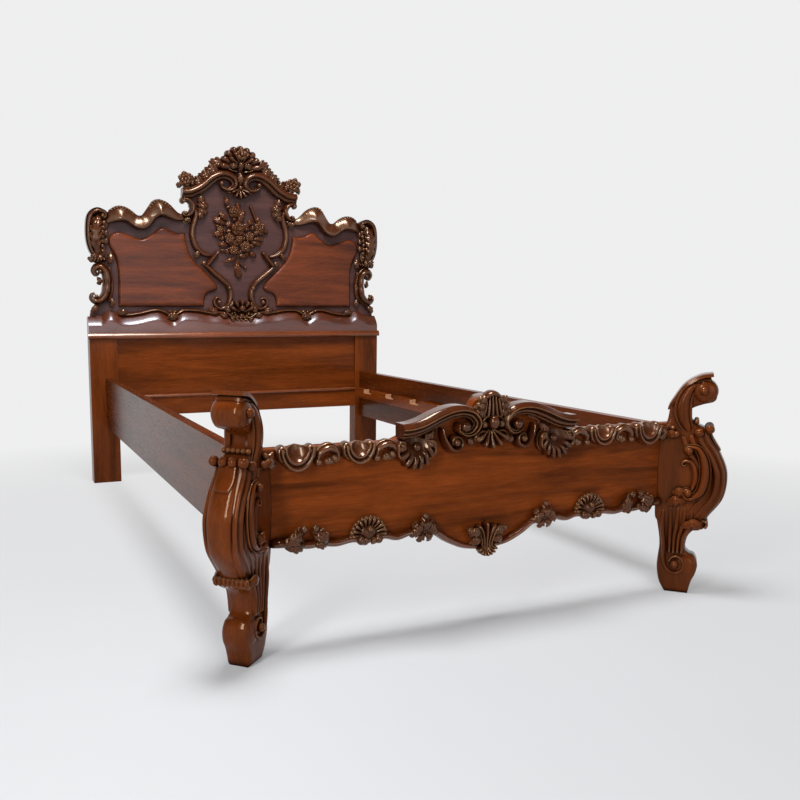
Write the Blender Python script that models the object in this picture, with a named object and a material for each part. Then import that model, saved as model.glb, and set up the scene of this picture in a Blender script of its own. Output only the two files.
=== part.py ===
"""Carved bed: panelled headboard, serpentine footboard on diagonal scroll legs, hooked side rails.

The working frame has X across the bed, Y from the footboard to the headboard and Z up, with the front
face of the footboard panel at Y = 0. At the end everything is moved so that the origin lies under the
middle of the bed.
"""
import math

import bmesh
import bpy
from mathutils import Vector

# Clearances, in metres like every size below
SEAT = 0.0003
SLIP = 0.001

# Main sizes of the bed
RAIL_SPREAD = 1.269
RAIL_THICK = 0.0315
RAIL_TOP = 0.470
RAIL_HEIGHT = 0.221
RAIL_LENGTH = 2.000

# Slat cleats inside the rails
CLEAT_WIDTH = 0.030
CLEAT_HEIGHT = 0.045
CLEAT_DROP = 0.080
CLEAT_END_ROOM = 0.030
SLAT_PITCH = 0.240
SLAT_WIDTH = 0.075
SLAT_SEAT_DEPTH = 0.018

# Knock-down fittings
HOOK_THICK = 0.003
HOOK_TANG = 0.050
HOOK_NECK = 0.020
HOOK_DROP = 0.015
HOOK_TIP = 0.006
HOOK_SPACING = 0.080
HOOK_MARGIN = 0.012
RAIL_LIFT = 0.020
SLOT_PLATE_THICK = 0.003
SLOT_PLATE_EDGE = 0.00375
SLOT_PLATE_MARGIN = 0.015

# Footboard
CORNER_POST = 0.070
FOOT_PANEL_THICK = 0.030
FOOT_PANEL_RISE = 0.011
FOOT_PANEL_LIFT = 0.007
FRIEZE_DEPTH = 0.018
FOOT_ARM_DEPTH = 0.050
FOOT_CREST_DEPTH = 0.055
FOOT_SCROLL_DEPTH = 0.032
RUFFLE_DEPTH = 0.026
LOWER_MOULDING_DEPTH = 0.020
CENTRE_SHELL_DEPTH = 0.030
LEG_RISE = 0.138
LEG_SHIFT = 0.010
LEG_STRAP_RELIEF = 0.008
LEG_STRAP_ROOT = 0.004

# Headboard
HEAD_OVERHANG = 0.0655
HEAD_POST_INSET = 0.023
HEAD_POST_DEPTH = 0.065
HEAD_POST_HEIGHT = 0.645
LOWER_RAIL_BOTTOM = 0.296
LOWER_RAIL_HEIGHT = 0.095
LOWER_RAIL_THICK = 0.034
LOWER_RAIL_RECESS = 0.006
LOWER_PANEL_THICK = 0.022
LOWER_PANEL_RECESS = 0.012
MOULDING_RADIUS = 0.0135
MOULDING_OVERHANG = 0.006
COVE_HEIGHT = 0.095
COVE_FILLET = 0.003
BOARD_THICK = 0.030
FIELD_DEPTH = 0.006
CRESTING_DEPTH = 0.040
CORNER_LEAF_DEPTH = 0.040
SIDE_SCROLL_DEPTH = 0.034
HEAD_ARM_DEPTH = 0.044
HEAD_CREST_DEPTH = 0.048
ROSETTE_RADIUS = 0.030
ROSETTE_DEPTH = 0.036
STRAP_DEPTH = 0.020
BOUQUET_DEPTH = 0.024
HEAD_SHELL_DEPTH = 0.030
PENDANT_DEPTH = 0.030
SKIRT_DEPTH = 0.014

# Fineness of the curves, as straight steps
CURVE_STEPS = 2
STROKE_STEPS = 2
COVE_STEPS = 6
HALF_ROUND_STEPS = 8
LOBE_STEPS = 4

# Outlines are points (across, up) for the right half
# A point that ends in CORNER is sharp, and the others are rounded
CORNER = "corner"

# Legs, as points (outward along the diagonal, up from the floor)
LEG_OUTLINE = [
    (-0.014, 0.000, CORNER), (-0.030, 0.030), (-0.037, 0.076), (-0.033, 0.139), (-0.042, 0.200),
    (-0.050, 0.236), (-0.050, 0.436), (-0.030, 0.484), (-0.020, 0.536), (0.011, 0.587), (0.049, 0.612),
    (0.081, 0.619, CORNER), (0.090, 0.596), (0.102, 0.566), (0.092, 0.544), (0.058, 0.536), (0.031, 0.522),
    (0.032, 0.498), (0.052, 0.481), (0.082, 0.472, CORNER), (0.088, 0.445), (0.116, 0.402), (0.135, 0.347),
    (0.128, 0.279), (0.093, 0.224), (0.074, 0.194, CORNER), (0.053, 0.177), (0.032, 0.119), (0.050, 0.094),
    (0.064, 0.062), (0.057, 0.030), (0.045, 0.000, CORNER)]
LEG_THICKNESS = [
    (0.000, 0.058), (0.065, 0.068), (0.120, 0.058), (0.190, 0.074), (0.250, 0.082), (0.350, 0.090),
    (0.460, 0.088), (0.490, 0.060), (0.530, 0.058), (0.560, 0.074), (0.620, 0.072)]
LEG_STRAP = [
    (0.012, 0.400), (0.044, 0.417), (0.076, 0.400), (0.089, 0.352), (0.078, 0.290), (0.041, 0.242)]
LEG_STRAP_WIDTH = [0.022, 0.026, 0.030, 0.032, 0.028, 0.020]

# Upper part of the footboard, up from the top of its panel
FOOT_PANEL_EDGE = [
    (0.262, 0.000, CORNER), (0.215, 0.017), (0.150, 0.031), (0.095, 0.061), (0.050, 0.064), (0.036, 0.091),
    (0.000, 0.104)]
FRIEZE = [
    (0.252, 0.000, CORNER), (0.555, 0.000, CORNER), (0.555, -0.023, CORNER), (0.540, -0.040), (0.511, -0.055),
    (0.480, -0.043), (0.460, -0.026), (0.430, -0.021), (0.400, -0.028), (0.360, -0.051), (0.322, -0.037),
    (0.300, -0.025), (0.272, -0.021), (0.252, -0.023, CORNER)]
FOOT_ARM = [
    (0.248, 0.031), (0.205, 0.034), (0.155, 0.050), (0.108, 0.072), (0.070, 0.070), (0.052, 0.051),
    (0.062, 0.033)]
FOOT_ARM_WIDTH = [0.032, 0.032, 0.032, 0.030, 0.024, 0.018, 0.012]
FOOT_CREST = [
    (0.000, 0.112), (0.026, 0.103), (0.038, 0.081), (0.030, 0.049), (0.034, 0.019), (0.026, -0.019),
    (0.000, -0.037)]
FOOT_SCROLL_PLACE = (0.098, -0.003)
FOOT_SCROLL_RADIUS = 0.030
FOOT_SCROLL_LOBES = 4
FOOT_SCROLL_LOBE_SHARE = 0.05
RUFFLE_ACROSS = 0.196
RUFFLE_GAP = 0.009
RUFFLE_RADIUS = 0.042
RUFFLE_LOBES = 7
LOBE_SHARE = 0.12

# Lower part of the footboard, up from the bottom of the rails
FOOT_PANEL_HEM = [
    (0.530, 0.005), (0.475, 0.009), (0.395, 0.003), (0.327, 0.001), (0.256, -0.003), (0.178, 0.003),
    (0.125, -0.009), (0.066, -0.043), (0.000, -0.053)]
LOWER_BEAD = [
    (0.545, 0.013), (0.520, 0.008), (0.475, 0.013), (0.395, 0.006), (0.327, 0.003), (0.256, 0.000),
    (0.178, 0.005), (0.128, -0.006), (0.072, -0.035)]
LOWER_BEAD_WIDTH = [0.020] + [0.016] * 7 + [0.014]
LOWER_SHELL_PLACES = [(0.476, 0.028, 0.034), (0.327, 0.023, 0.040), (0.178, 0.017, 0.032)]
LOWER_SHELL_LOBES = 6
CENTRE_SHELL = [
    (0.000, 0.009), (0.036, 0.003), (0.055, -0.017), (0.042, -0.043), (0.018, -0.063), (0.000, -0.079)]

# Headboard, up from the foot of its upper board
HEAD_BOARD = [
    (0.668, 0.020), (0.648, 0.060), (0.622, 0.130), (0.632, 0.210), (0.640, 0.280), (0.664, 0.360),
    (0.648, 0.432), (0.600, 0.440), (0.540, 0.456), (0.475, 0.420), (0.420, 0.428), (0.372, 0.486),
    (0.320, 0.465), (0.262, 0.442), (0.222, 0.470), (0.240, 0.550), (0.262, 0.605), (0.190, 0.610),
    (0.150, 0.655), (0.112, 0.690), (0.060, 0.740), (0.000, 0.755)]
FIELD_PANEL = [
    (0.594, 0.350), (0.575, 0.373), (0.530, 0.381), (0.484, 0.363), (0.452, 0.352), (0.409, 0.375),
    (0.362, 0.398), (0.315, 0.387), (0.268, 0.378, CORNER), (0.246, 0.326), (0.222, 0.272), (0.202, 0.232),
    (0.165, 0.188), (0.130, 0.145), (0.132, 0.115), (0.152, 0.086), (0.162, 0.048, CORNER), (0.360, 0.055),
    (0.562, 0.051, CORNER), (0.554, 0.177), (0.563, 0.232), (0.591, 0.305)]
CRESTING = [
    (0.583, 0.432), (0.540, 0.465), (0.485, 0.442), (0.450, 0.418), (0.415, 0.445), (0.375, 0.492),
    (0.335, 0.478), (0.300, 0.452), (0.256, 0.444)]
CRESTING_WIDTH = [0.028, 0.044, 0.042, 0.034, 0.044, 0.048, 0.040, 0.030, 0.022]
CORNER_LEAF = [
    (0.608, 0.465), (0.640, 0.476), (0.672, 0.465), (0.692, 0.430), (0.700, 0.360), (0.694, 0.300),
    (0.678, 0.265), (0.652, 0.258), (0.618, 0.264), (0.612, 0.300), (0.626, 0.350), (0.622, 0.390),
    (0.604, 0.420)]
SIDE_SCROLL = [
    (0.662, 0.190), (0.672, 0.215), (0.652, 0.236), (0.625, 0.215), (0.608, 0.165), (0.605, 0.110),
    (0.622, 0.066), (0.655, 0.056), (0.680, 0.080)]
SIDE_SCROLL_WIDTH = [0.014, 0.018, 0.022, 0.030, 0.034, 0.034, 0.030, 0.026, 0.018]
HEAD_ARM = [
    (0.276, 0.558), (0.225, 0.562), (0.175, 0.585), (0.125, 0.630), (0.080, 0.654), (0.043, 0.646),
    (0.032, 0.622), (0.050, 0.607)]
HEAD_ARM_WIDTH = [0.038, 0.036, 0.036, 0.036, 0.034, 0.026, 0.018, 0.012]
HEAD_CREST = [(0.000, 0.772), (0.036, 0.763), (0.070, 0.738), (0.086, 0.706), (0.060, 0.688), (0.000, 0.680)]
ROSETTE_INSET = 0.017
ROSETTE_GAP = 0.006
ROSETTE_LOBES = 5
UPPER_STRAP = [
    (0.216, 0.522), (0.204, 0.486), (0.209, 0.450), (0.221, 0.410), (0.224, 0.370), (0.211, 0.318),
    (0.172, 0.286), (0.135, 0.276), (0.106, 0.293)]
UPPER_STRAP_WIDTH = [0.030, 0.026, 0.024, 0.022, 0.022, 0.022, 0.022, 0.018, 0.012]
LOWER_STRAP = [
    (0.145, 0.244), (0.166, 0.235), (0.125, 0.200), (0.078, 0.160), (0.054, 0.117), (0.062, 0.078),
    (0.094, 0.057), (0.114, 0.074), (0.098, 0.090)]
LOWER_STRAP_WIDTH = [0.010, 0.018, 0.022, 0.022, 0.022, 0.020, 0.016, 0.012, 0.010]
BOUQUET = [
    (0.000, 0.522), (0.050, 0.500), (0.092, 0.485), (0.100, 0.440), (0.126, 0.390), (0.108, 0.342),
    (0.068, 0.302), (0.030, 0.232), (0.000, 0.188)]
HEAD_SHELL = [(0.000, 0.063), (0.040, 0.054), (0.070, 0.030), (0.058, 0.010), (0.000, 0.004)]
PENDANT = [(0.000, 0.594), (0.022, 0.586), (0.030, 0.570), (0.018, 0.556), (0.000, 0.550)]
SKIRT = [
    (0.595, 0.034), (0.560, 0.017), (0.475, 0.018), (0.410, 0.032), (0.362, 0.026), (0.325, 0.017),
    (0.285, 0.025), (0.215, 0.023), (0.155, 0.014), (0.104, 0.017)]
SKIRT_WIDTH = [0.012, 0.014, 0.013, 0.012, 0.016, 0.024, 0.016, 0.012, 0.012, 0.012]

# Finishes as colour, roughness and metallic value
PLAIN_WOOD = ((0.16, 0.035, 0.014), 0.30, 0.0)
CARVED_WOOD = ((0.11, 0.030, 0.014), 0.35, 0.0)
GROUND_WOOD = ((0.075, 0.030, 0.028), 0.40, 0.0)
STEEL = ((0.35, 0.35, 0.36), 0.45, 1.0)

# Places that follow from the sizes
RAIL_OUTER = RAIL_SPREAD / 2
RAIL_BOTTOM = RAIL_TOP - RAIL_HEIGHT
RAIL_MIDDLE = RAIL_OUTER - RAIL_THICK / 2
CORNER_POST_FRONT = FOOT_PANEL_THICK + SEAT
RAIL_FOOT_END = CORNER_POST_FRONT + CORNER_POST + SEAT
RAIL_HEAD_END = RAIL_FOOT_END + RAIL_LENGTH
HOOKS_LOW = HOOK_DROP + SLOT_PLATE_MARGIN
HOOKS_HIGH = HOOK_NECK + RAIL_LIFT + SLOT_PLATE_MARGIN
LOW_HOOK = (RAIL_BOTTOM + RAIL_TOP - HOOK_SPACING + HOOKS_LOW - HOOKS_HIGH) / 2
HOOK_HEIGHTS = (LOW_HOOK, LOW_HOOK + HOOK_SPACING)

FOOT_PANEL_TOP = RAIL_TOP + FOOT_PANEL_RISE
LEG_STRETCH = (FOOT_PANEL_TOP + LEG_RISE) / max(point[1] for point in LEG_OUTLINE)
CARVING_END = RAIL_OUTER - math.sqrt(2) * (LEG_SHIFT + max(row[1] for row in LEG_THICKNESS) / 2) - SLIP
FOOT_STRETCH = CARVING_END / max(point[0] for point in FRIEZE)
RUFFLE_PLACE = (RUFFLE_ACROSS, FOOT_ARM[1][1] - FOOT_ARM_WIDTH[1] / 2 - RUFFLE_GAP - RUFFLE_RADIUS)

HEAD_WIDTH = RAIL_SPREAD + 2 * HEAD_OVERHANG
HEAD_POST_WIDTH = HEAD_OVERHANG + RAIL_THICK + HEAD_POST_INSET
POST_SPAN = HEAD_WIDTH - 2 * HEAD_POST_WIDTH - 2 * SEAT
HEAD_FRONT = RAIL_HEAD_END + SEAT
HEAD_BACK = HEAD_FRONT + HEAD_POST_DEPTH
BOARD_SETBACK = HEAD_POST_DEPTH - BOARD_THICK
BOARD_FRONT = HEAD_FRONT + BOARD_SETBACK
BOARD_BOTTOM = HEAD_POST_HEIGHT + SEAT + COVE_HEIGHT + SEAT
CARVING_BACK = BOARD_FRONT - SEAT
HEAD_STRETCH = HEAD_WIDTH / 2 / max(point[0] for point in CORNER_LEAF)
ROSETTE_PLACE = (HEAD_ARM[0][0] - ROSETTE_INSET,
                 HEAD_ARM[0][1] + HEAD_ARM_WIDTH[0] / 2 + ROSETTE_GAP + ROSETTE_RADIUS)
SIDES = (("left", -1), ("right", 1))


def clear_scene():
    """Remove every object so that the model starts empty."""
    for item in list(bpy.data.objects):
        bpy.data.objects.remove(item, do_unlink=True)


def new_collection(name):
    group = bpy.data.collections.new(name)
    bpy.context.scene.collection.children.link(group)
    return group


def finish(node, look):
    """Give a node its own material."""
    colour, roughness, metallic = look
    material = bpy.data.materials.new(node.name + "_finish")
    material.use_nodes = True
    shader = material.node_tree.nodes["Principled BSDF"]
    shader.inputs["Base Color"].default_value = (*colour, 1.0)
    shader.inputs["Roughness"].default_value = roughness
    shader.inputs["Metallic"].default_value = metallic
    node.data.materials.clear()
    node.data.materials.append(material)


def add_part(node, look):
    """Place a finished node in the bed's collection, under the bed's empty."""
    for group in node.users_collection:
        group.objects.unlink(node)
    PARTS.objects.link(node)
    node.parent = BED
    finish(node, look)
    return node


def box(name, low, high):
    """A box between two corners."""
    mesh = bpy.data.meshes.new(name)
    shape = bmesh.new()
    bmesh.ops.create_cube(shape, size=1.0)
    low, high = Vector(low), Vector(high)
    size = high - low
    bmesh.ops.scale(shape, vec=size, verts=shape.verts)
    bmesh.ops.translate(shape, vec=(low + high) / 2, verts=shape.verts)
    shape.to_mesh(mesh)
    shape.free()
    node = bpy.data.objects.new(name, mesh)
    bpy.context.scene.collection.objects.link(node)
    return node


def on_foot(points, side, datum):
    """An outline in its place on the footboard: stretched to its width, mirrored and raised to its datum."""
    return [(side * FOOT_STRETCH * point[0], datum + point[1], *point[2:]) for point in points]


def on_head(points, side):
    """An outline in its place on the headboard."""
    return [(side * HEAD_STRETCH * point[0], BOARD_BOTTOM + point[1], *point[2:]) for point in points]


def on_leg(points):
    """An outline at its height on a leg."""
    return [(point[0], LEG_STRETCH * point[1], *point[2:]) for point in points]


def symmetric(half):
    """A closed outline from its right half, which starts and ends on the middle plane."""
    left = [(-point[0], *point[1:]) for point in reversed(half[1:-1])]
    return half + left


def smooth_path(points, steps):
    """Points along a smooth curve through the given points, with their place along the list."""
    track = []
    last = len(points) - 1
    for index in range(last):
        before, start = Vector(points[max(index - 1, 0)]), Vector(points[index])
        end, after = Vector(points[index + 1]), Vector(points[min(index + 2, last)])
        for step in range(steps):
            part = step / steps
            pull = (end - before) * (part - 2 * part ** 2 + part ** 3) / 2
            push = (after - start) * (part ** 3 - part ** 2) / 2
            blend = 3 * part ** 2 - 2 * part ** 3
            track.append((index + part, start.lerp(end, blend) + pull + push))
    track.append((float(last), Vector(points[last])))
    return track


def stroke(points, widths):
    """The outline of a band that follows a path with changing width and has round ends."""
    track = smooth_path(points, STROKE_STEPS)
    left, right = [], []
    for index, (place, spot) in enumerate(track):
        ahead = track[min(index + 1, len(track) - 1)][1] - track[max(index - 1, 0)][1]
        across = Vector((-ahead.y, ahead.x)).normalized()
        slot = min(int(place), len(widths) - 2)
        half = (widths[slot] + (widths[slot + 1] - widths[slot]) * (place - slot)) / 2
        left.append(spot + across * half)
        right.append(spot - across * half)
        if index == 0:
            first_cap = spot - ahead.normalized() * half
        last_cap = spot + ahead.normalized() * half
    return [tuple(point) for point in [first_cap, *left, last_cap, *reversed(right)]]


def lobed(place, radius, lobes, share=LOBE_SHARE):
    """A scalloped round outline, whose lobes take a share of its radius."""
    count = lobes * LOBE_STEPS
    outline = []
    for index in range(count):
        angle = index / count * 2 * math.pi
        reach = radius * (1 - share + share * math.cos(angle * lobes))
        outline.append((place[0] + reach * math.cos(angle), place[1] + reach * math.sin(angle)))
    return outline


def flat_curve(name, outlines, thick, rounded):
    """A flat outline of a given thickness as a filled 2D curve; further outlines are holes."""
    data = bpy.data.curves.new(name, "CURVE")
    data.dimensions = "2D"
    data.fill_mode = "BOTH"
    data.extrude = thick / 2
    data.resolution_u = CURVE_STEPS
    for points in outlines:
        spline = data.splines.new("BEZIER" if rounded else "POLY")
        spline.use_cyclic_u = True
        if rounded:
            spline.bezier_points.add(len(points) - 1)
            for knot, point in zip(spline.bezier_points, points):
                knot.co = (point[0], point[1], 0)
                handle = "VECTOR" if point[-1] == CORNER else "AUTO"
                knot.handle_left_type = handle
                knot.handle_right_type = handle
        else:
            spline.points.add(len(points) - 1)
            for knot, point in zip(spline.points, points):
                knot.co = (point[0], point[1], 0, 1)
    node = bpy.data.objects.new(name, data)
    bpy.context.scene.collection.objects.link(node)
    return node


def upright(node, middle, turn=0.0):
    """Stand a flat outline up so that its second direction is Z, centred on a place in plan."""
    node.rotation_euler = (math.pi / 2, 0, turn)
    node.location = (middle[0], middle[1], 0)
    return node


def to_mesh(node):
    """Turn a curve into a closed mesh in world space."""
    bpy.context.view_layer.update()
    seen = node.evaluated_get(bpy.context.evaluated_depsgraph_get())
    mesh = bpy.data.meshes.new_from_object(seen)
    mesh.transform(node.matrix_world)
    name = node.name
    bpy.data.objects.remove(node, do_unlink=True)
    shape = bmesh.new()
    shape.from_mesh(mesh)
    bmesh.ops.remove_doubles(shape, verts=shape.verts, dist=SEAT / 10)
    bmesh.ops.recalc_face_normals(shape, faces=shape.faces)
    shape.to_mesh(mesh)
    shape.free()
    solid = bpy.data.objects.new(name, mesh)
    solid.name = name
    bpy.context.scene.collection.objects.link(solid)
    return solid


def combine(node, tool, operation, solver="EXACT"):
    """Cut a tool from a node, or join it on."""
    for group in tool.users_collection:
        group.objects.unlink(tool)
    CUTTERS.objects.link(tool)
    tool.hide_render = True
    tool.display_type = "WIRE"
    tool.parent = BED
    change = node.modifiers.new(operation.lower(), "BOOLEAN")
    change.operation = operation
    change.solver = solver
    change.object = tool


def carving(name, outline, back, depth, look=CARVED_WOOD, rounded=True):
    """A carved piece that lies flat against a face looking towards the foot of the bed."""
    node = flat_curve(name, [outline], depth, rounded)
    upright(node, (0, back - depth / 2))
    return add_part(to_mesh(node), look)


def head_posts():
    for label, side in SIDES:
        outer, inner = side * HEAD_WIDTH / 2, side * (HEAD_WIDTH / 2 - HEAD_POST_WIDTH)
        low = (min(outer, inner), HEAD_FRONT, 0)
        high = (max(outer, inner), HEAD_BACK, HEAD_POST_HEIGHT)
        post = add_part(box("head_post_" + label, low, high), PLAIN_WOOD)
        fitting_pocket(post, "head_" + label, side, HEAD_FRONT, 1)


def fitting_pocket(post, label, side, face, inward):
    """Let a slot plate into a post face, with room behind it for the hooks."""
    lowest, highest = HOOK_HEIGHTS
    middle = side * RAIL_MIDDLE
    plate_low = lowest - HOOKS_LOW
    plate_high = highest + HOOKS_HIGH
    depth = SLOT_PLATE_THICK + 2 * SEAT
    half = RAIL_THICK / 2 - SLOT_PLATE_EDGE + SEAT
    mouth = face - inward * SLIP
    floor = face + inward * depth
    recess = box("recess_" + label, (middle - half, min(mouth, floor), plate_low - SEAT),
                 (middle + half, max(mouth, floor), plate_high + SEAT))
    combine(post, recess, "DIFFERENCE")
    deep = face + inward * (depth + HOOK_TIP + SLIP)
    slim = HOOK_THICK / 2 + SLIP
    pocket = box("pocket_" + label, (middle - slim, min(mouth, deep), lowest - HOOK_DROP - SLIP),
                 (middle + slim, max(mouth, deep), highest + HOOK_NECK + RAIL_LIFT + SLIP))
    combine(post, pocket, "DIFFERENCE")
    half -= SEAT
    sheet = [(middle - half, plate_low), (middle + half, plate_low), (middle + half, plate_high),
             (middle - half, plate_high)]
    slots = []
    for neck in (lowest, highest):
        top = neck + HOOK_NECK + RAIL_LIFT + SLIP
        slots.append([(middle - slim, neck - SEAT), (middle + slim, neck - SEAT), (middle + slim, top),
                      (middle - slim, top)])
    plate = flat_curve("slot_plate_" + label, [sheet, *slots], SLOT_PLATE_THICK, False)
    upright(plate, (0, face + inward * (SEAT + SLOT_PLATE_THICK / 2)))
    add_part(to_mesh(plate), STEEL)


def lower_headboard():
    half = POST_SPAN / 2
    rail_top = LOWER_RAIL_BOTTOM + LOWER_RAIL_HEIGHT
    rail_front = HEAD_FRONT + LOWER_RAIL_RECESS
    rail = box("head_lower_rail", (-half, rail_front, LOWER_RAIL_BOTTOM),
               (half, rail_front + LOWER_RAIL_THICK, rail_top))
    add_part(rail, PLAIN_WOOD)
    panel_front = HEAD_FRONT + LOWER_PANEL_RECESS
    panel = box("head_lower_panel", (-half, panel_front, rail_top + SEAT),
                (half, panel_front + LOWER_PANEL_THICK, HEAD_POST_HEIGHT))
    add_part(panel, PLAIN_WOOD)


def cove_cap():
    """The cap rail across the posts, hollowed from its front edge up to the face of the upper board."""
    foot = HEAD_POST_HEIGHT + SEAT
    top = foot + COVE_HEIGHT
    rise = COVE_HEIGHT - 2 * MOULDING_RADIUS - COVE_FILLET
    profile = [(HEAD_FRONT, foot), (HEAD_BACK, foot), (HEAD_BACK, top)]
    for step in range(COVE_STEPS + 1):
        angle = math.pi / 2 * (1 - step / COVE_STEPS)
        profile.append((HEAD_FRONT + BOARD_SETBACK * math.sin(angle), top - rise * math.cos(angle)))
    cap = flat_curve("head_cove", [profile], HEAD_WIDTH, False)
    upright(cap, (0, 0), math.pi / 2)
    add_part(to_mesh(cap), PLAIN_WOOD)


def half_round():
    """The half-round moulding along the front of the cap rail."""
    height = HEAD_POST_HEIGHT + SEAT + MOULDING_RADIUS
    flat = HEAD_FRONT - SEAT
    profile = []
    for step in range(HALF_ROUND_STEPS + 1):
        angle = math.pi / 2 + math.pi * step / HALF_ROUND_STEPS
        profile.append((flat + MOULDING_RADIUS * math.cos(angle), height + MOULDING_RADIUS * math.sin(angle)))
    strip = flat_curve("head_half_round", [profile], HEAD_WIDTH + 2 * MOULDING_OVERHANG, False)
    upright(strip, (0, 0), math.pi / 2)
    add_part(to_mesh(strip), PLAIN_WOOD)


def upper_board():
    half = [(0, 0, CORNER), (HEAD_BOARD[0][0], 0, CORNER), *HEAD_BOARD]
    board = flat_curve("head_upper_board", [on_head(symmetric(half), 1)], BOARD_THICK, True)
    upright(board, (0, BOARD_FRONT + BOARD_THICK / 2))
    add_part(to_mesh(board), GROUND_WOOD)
    for label, side in SIDES:
        carving("head_field_" + label, on_head(FIELD_PANEL, side), CARVING_BACK, FIELD_DEPTH, PLAIN_WOOD)


def head_carvings():
    """The carved pieces on the face of the upper board."""
    bands = (("cresting", CRESTING, CRESTING_WIDTH, CRESTING_DEPTH),
             ("side_scroll", SIDE_SCROLL, SIDE_SCROLL_WIDTH, SIDE_SCROLL_DEPTH),
             ("pediment_arm", HEAD_ARM, HEAD_ARM_WIDTH, HEAD_ARM_DEPTH),
             ("upper_strap", UPPER_STRAP, UPPER_STRAP_WIDTH, STRAP_DEPTH),
             ("lower_strap", LOWER_STRAP, LOWER_STRAP_WIDTH, STRAP_DEPTH),
             ("skirt", SKIRT, SKIRT_WIDTH, SKIRT_DEPTH))
    for label, side in SIDES:
        for piece, path, widths, depth in bands:
            outline = on_head(stroke(path, widths), side)
            carving("head_" + piece + "_" + label, outline, CARVING_BACK, depth, rounded=False)
        leaf = on_head(CORNER_LEAF, side)
        carving("head_corner_leaf_" + label, leaf, CARVING_BACK, CORNER_LEAF_DEPTH)
        rosette = on_head(lobed(ROSETTE_PLACE, ROSETTE_RADIUS, ROSETTE_LOBES), side)
        carving("head_rosette_" + label, rosette, CARVING_BACK, ROSETTE_DEPTH, rounded=False)
    middles = (("crest", HEAD_CREST, HEAD_CREST_DEPTH), ("bouquet", BOUQUET, BOUQUET_DEPTH),
               ("base_shell", HEAD_SHELL, HEAD_SHELL_DEPTH), ("pendant", PENDANT, PENDANT_DEPTH))
    for piece, half, depth in middles:
        carving("head_" + piece, on_head(symmetric(half), 1), CARVING_BACK, depth)


def side_rails():
    for label, side in SIDES:
        middle = side * RAIL_MIDDLE
        half = RAIL_THICK / 2
        rail = box("side_rail_" + label, (middle - half, RAIL_FOOT_END, RAIL_BOTTOM),
                   (middle + half, RAIL_HEAD_END, RAIL_TOP))
        add_part(rail, PLAIN_WOOD)
        hook_plate(rail, "foot_" + label, middle, RAIL_FOOT_END, -1)
        hook_plate(rail, "head_" + label, middle, RAIL_HEAD_END, 1)
        slat_cleat(label, side)


def hook_plate(rail, label, middle, end, outward):
    """A steel plate let into the end of a rail, with two hooks that drop behind the slot plate."""
    lowest, highest = HOOK_HEIGHTS
    tang = end - outward * HOOK_TANG
    neck_end = end + outward * (2 * SEAT + SLOT_PLATE_THICK + SLIP / 2)
    tip = neck_end + outward * HOOK_TIP
    foot = lowest - HOOK_DROP
    crown = highest + HOOK_NECK + HOOK_MARGIN
    outline = [(tang, crown), (tang, foot), (end, foot)]
    for neck in (lowest, highest):
        outline += [(end, neck), (neck_end, neck), (neck_end, neck - HOOK_DROP), (tip, neck - HOOK_DROP),
                    (tip, neck + HOOK_NECK), (end, neck + HOOK_NECK)]
    outline.append((end, crown))
    plate = flat_curve("hook_plate_" + label, [outline], HOOK_THICK, False)
    upright(plate, (middle, 0), math.pi / 2)
    add_part(to_mesh(plate), STEEL)
    slim = HOOK_THICK / 2 + SEAT
    mouth = end + outward * SLIP
    bottom = tang - outward * SEAT
    kerf = box("kerf_" + label, (middle - slim, min(mouth, bottom), foot - SEAT),
               (middle + slim, max(mouth, bottom), crown + SEAT))
    combine(rail, kerf, "DIFFERENCE")


def slat_cleat(label, side):
    """The notched ledge inside a rail that carries the slats."""
    start = RAIL_FOOT_END + CLEAT_END_ROOM
    end = RAIL_HEAD_END - CLEAT_END_ROOM
    top = RAIL_TOP - CLEAT_DROP
    bottom = top - CLEAT_HEIGHT
    seat = top - SLAT_SEAT_DEPTH
    gaps = int((end - start - SLAT_WIDTH) / SLAT_PITCH)
    first = (start + end - SLAT_PITCH * gaps - SLAT_WIDTH) / 2
    outline = [(end, bottom), (start, bottom), (start, top)]
    for index in range(gaps + 1):
        near = first + index * SLAT_PITCH
        far = near + SLAT_WIDTH
        outline += [(near, top), (near, seat), (far, seat), (far, top)]
    outline.append((end, top))
    cleat = flat_curve("slat_cleat_" + label, [outline], CLEAT_WIDTH, False)
    upright(cleat, (side * (RAIL_OUTER - RAIL_THICK - SEAT - CLEAT_WIDTH / 2), 0), math.pi / 2)
    add_part(to_mesh(cleat), PLAIN_WOOD)


def corner_posts():
    for label, side in SIDES:
        outer, inner = side * RAIL_OUTER, side * (RAIL_OUTER - CORNER_POST)
        low = (min(outer, inner), CORNER_POST_FRONT, RAIL_BOTTOM)
        high = (max(outer, inner), CORNER_POST_FRONT + CORNER_POST, RAIL_TOP)
        post = add_part(box("foot_corner_post_" + label, low, high), PLAIN_WOOD)
        fitting_pocket(post, "foot_" + label, side, CORNER_POST_FRONT + CORNER_POST, -1)


def foot_panel():
    """The footboard panel, raised behind the crest and waved along its lower edge."""
    half = [*on_foot(reversed(FOOT_PANEL_EDGE), 1, FOOT_PANEL_TOP), (RAIL_OUTER, FOOT_PANEL_TOP, CORNER),
            (RAIL_OUTER, RAIL_BOTTOM + FOOT_PANEL_LIFT, CORNER), *on_foot(FOOT_PANEL_HEM, 1, RAIL_BOTTOM)]
    panel = flat_curve("foot_panel", [symmetric(half)], FOOT_PANEL_THICK, True)
    upright(panel, (0, FOOT_PANEL_THICK / 2))
    add_part(to_mesh(panel), PLAIN_WOOD)


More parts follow.
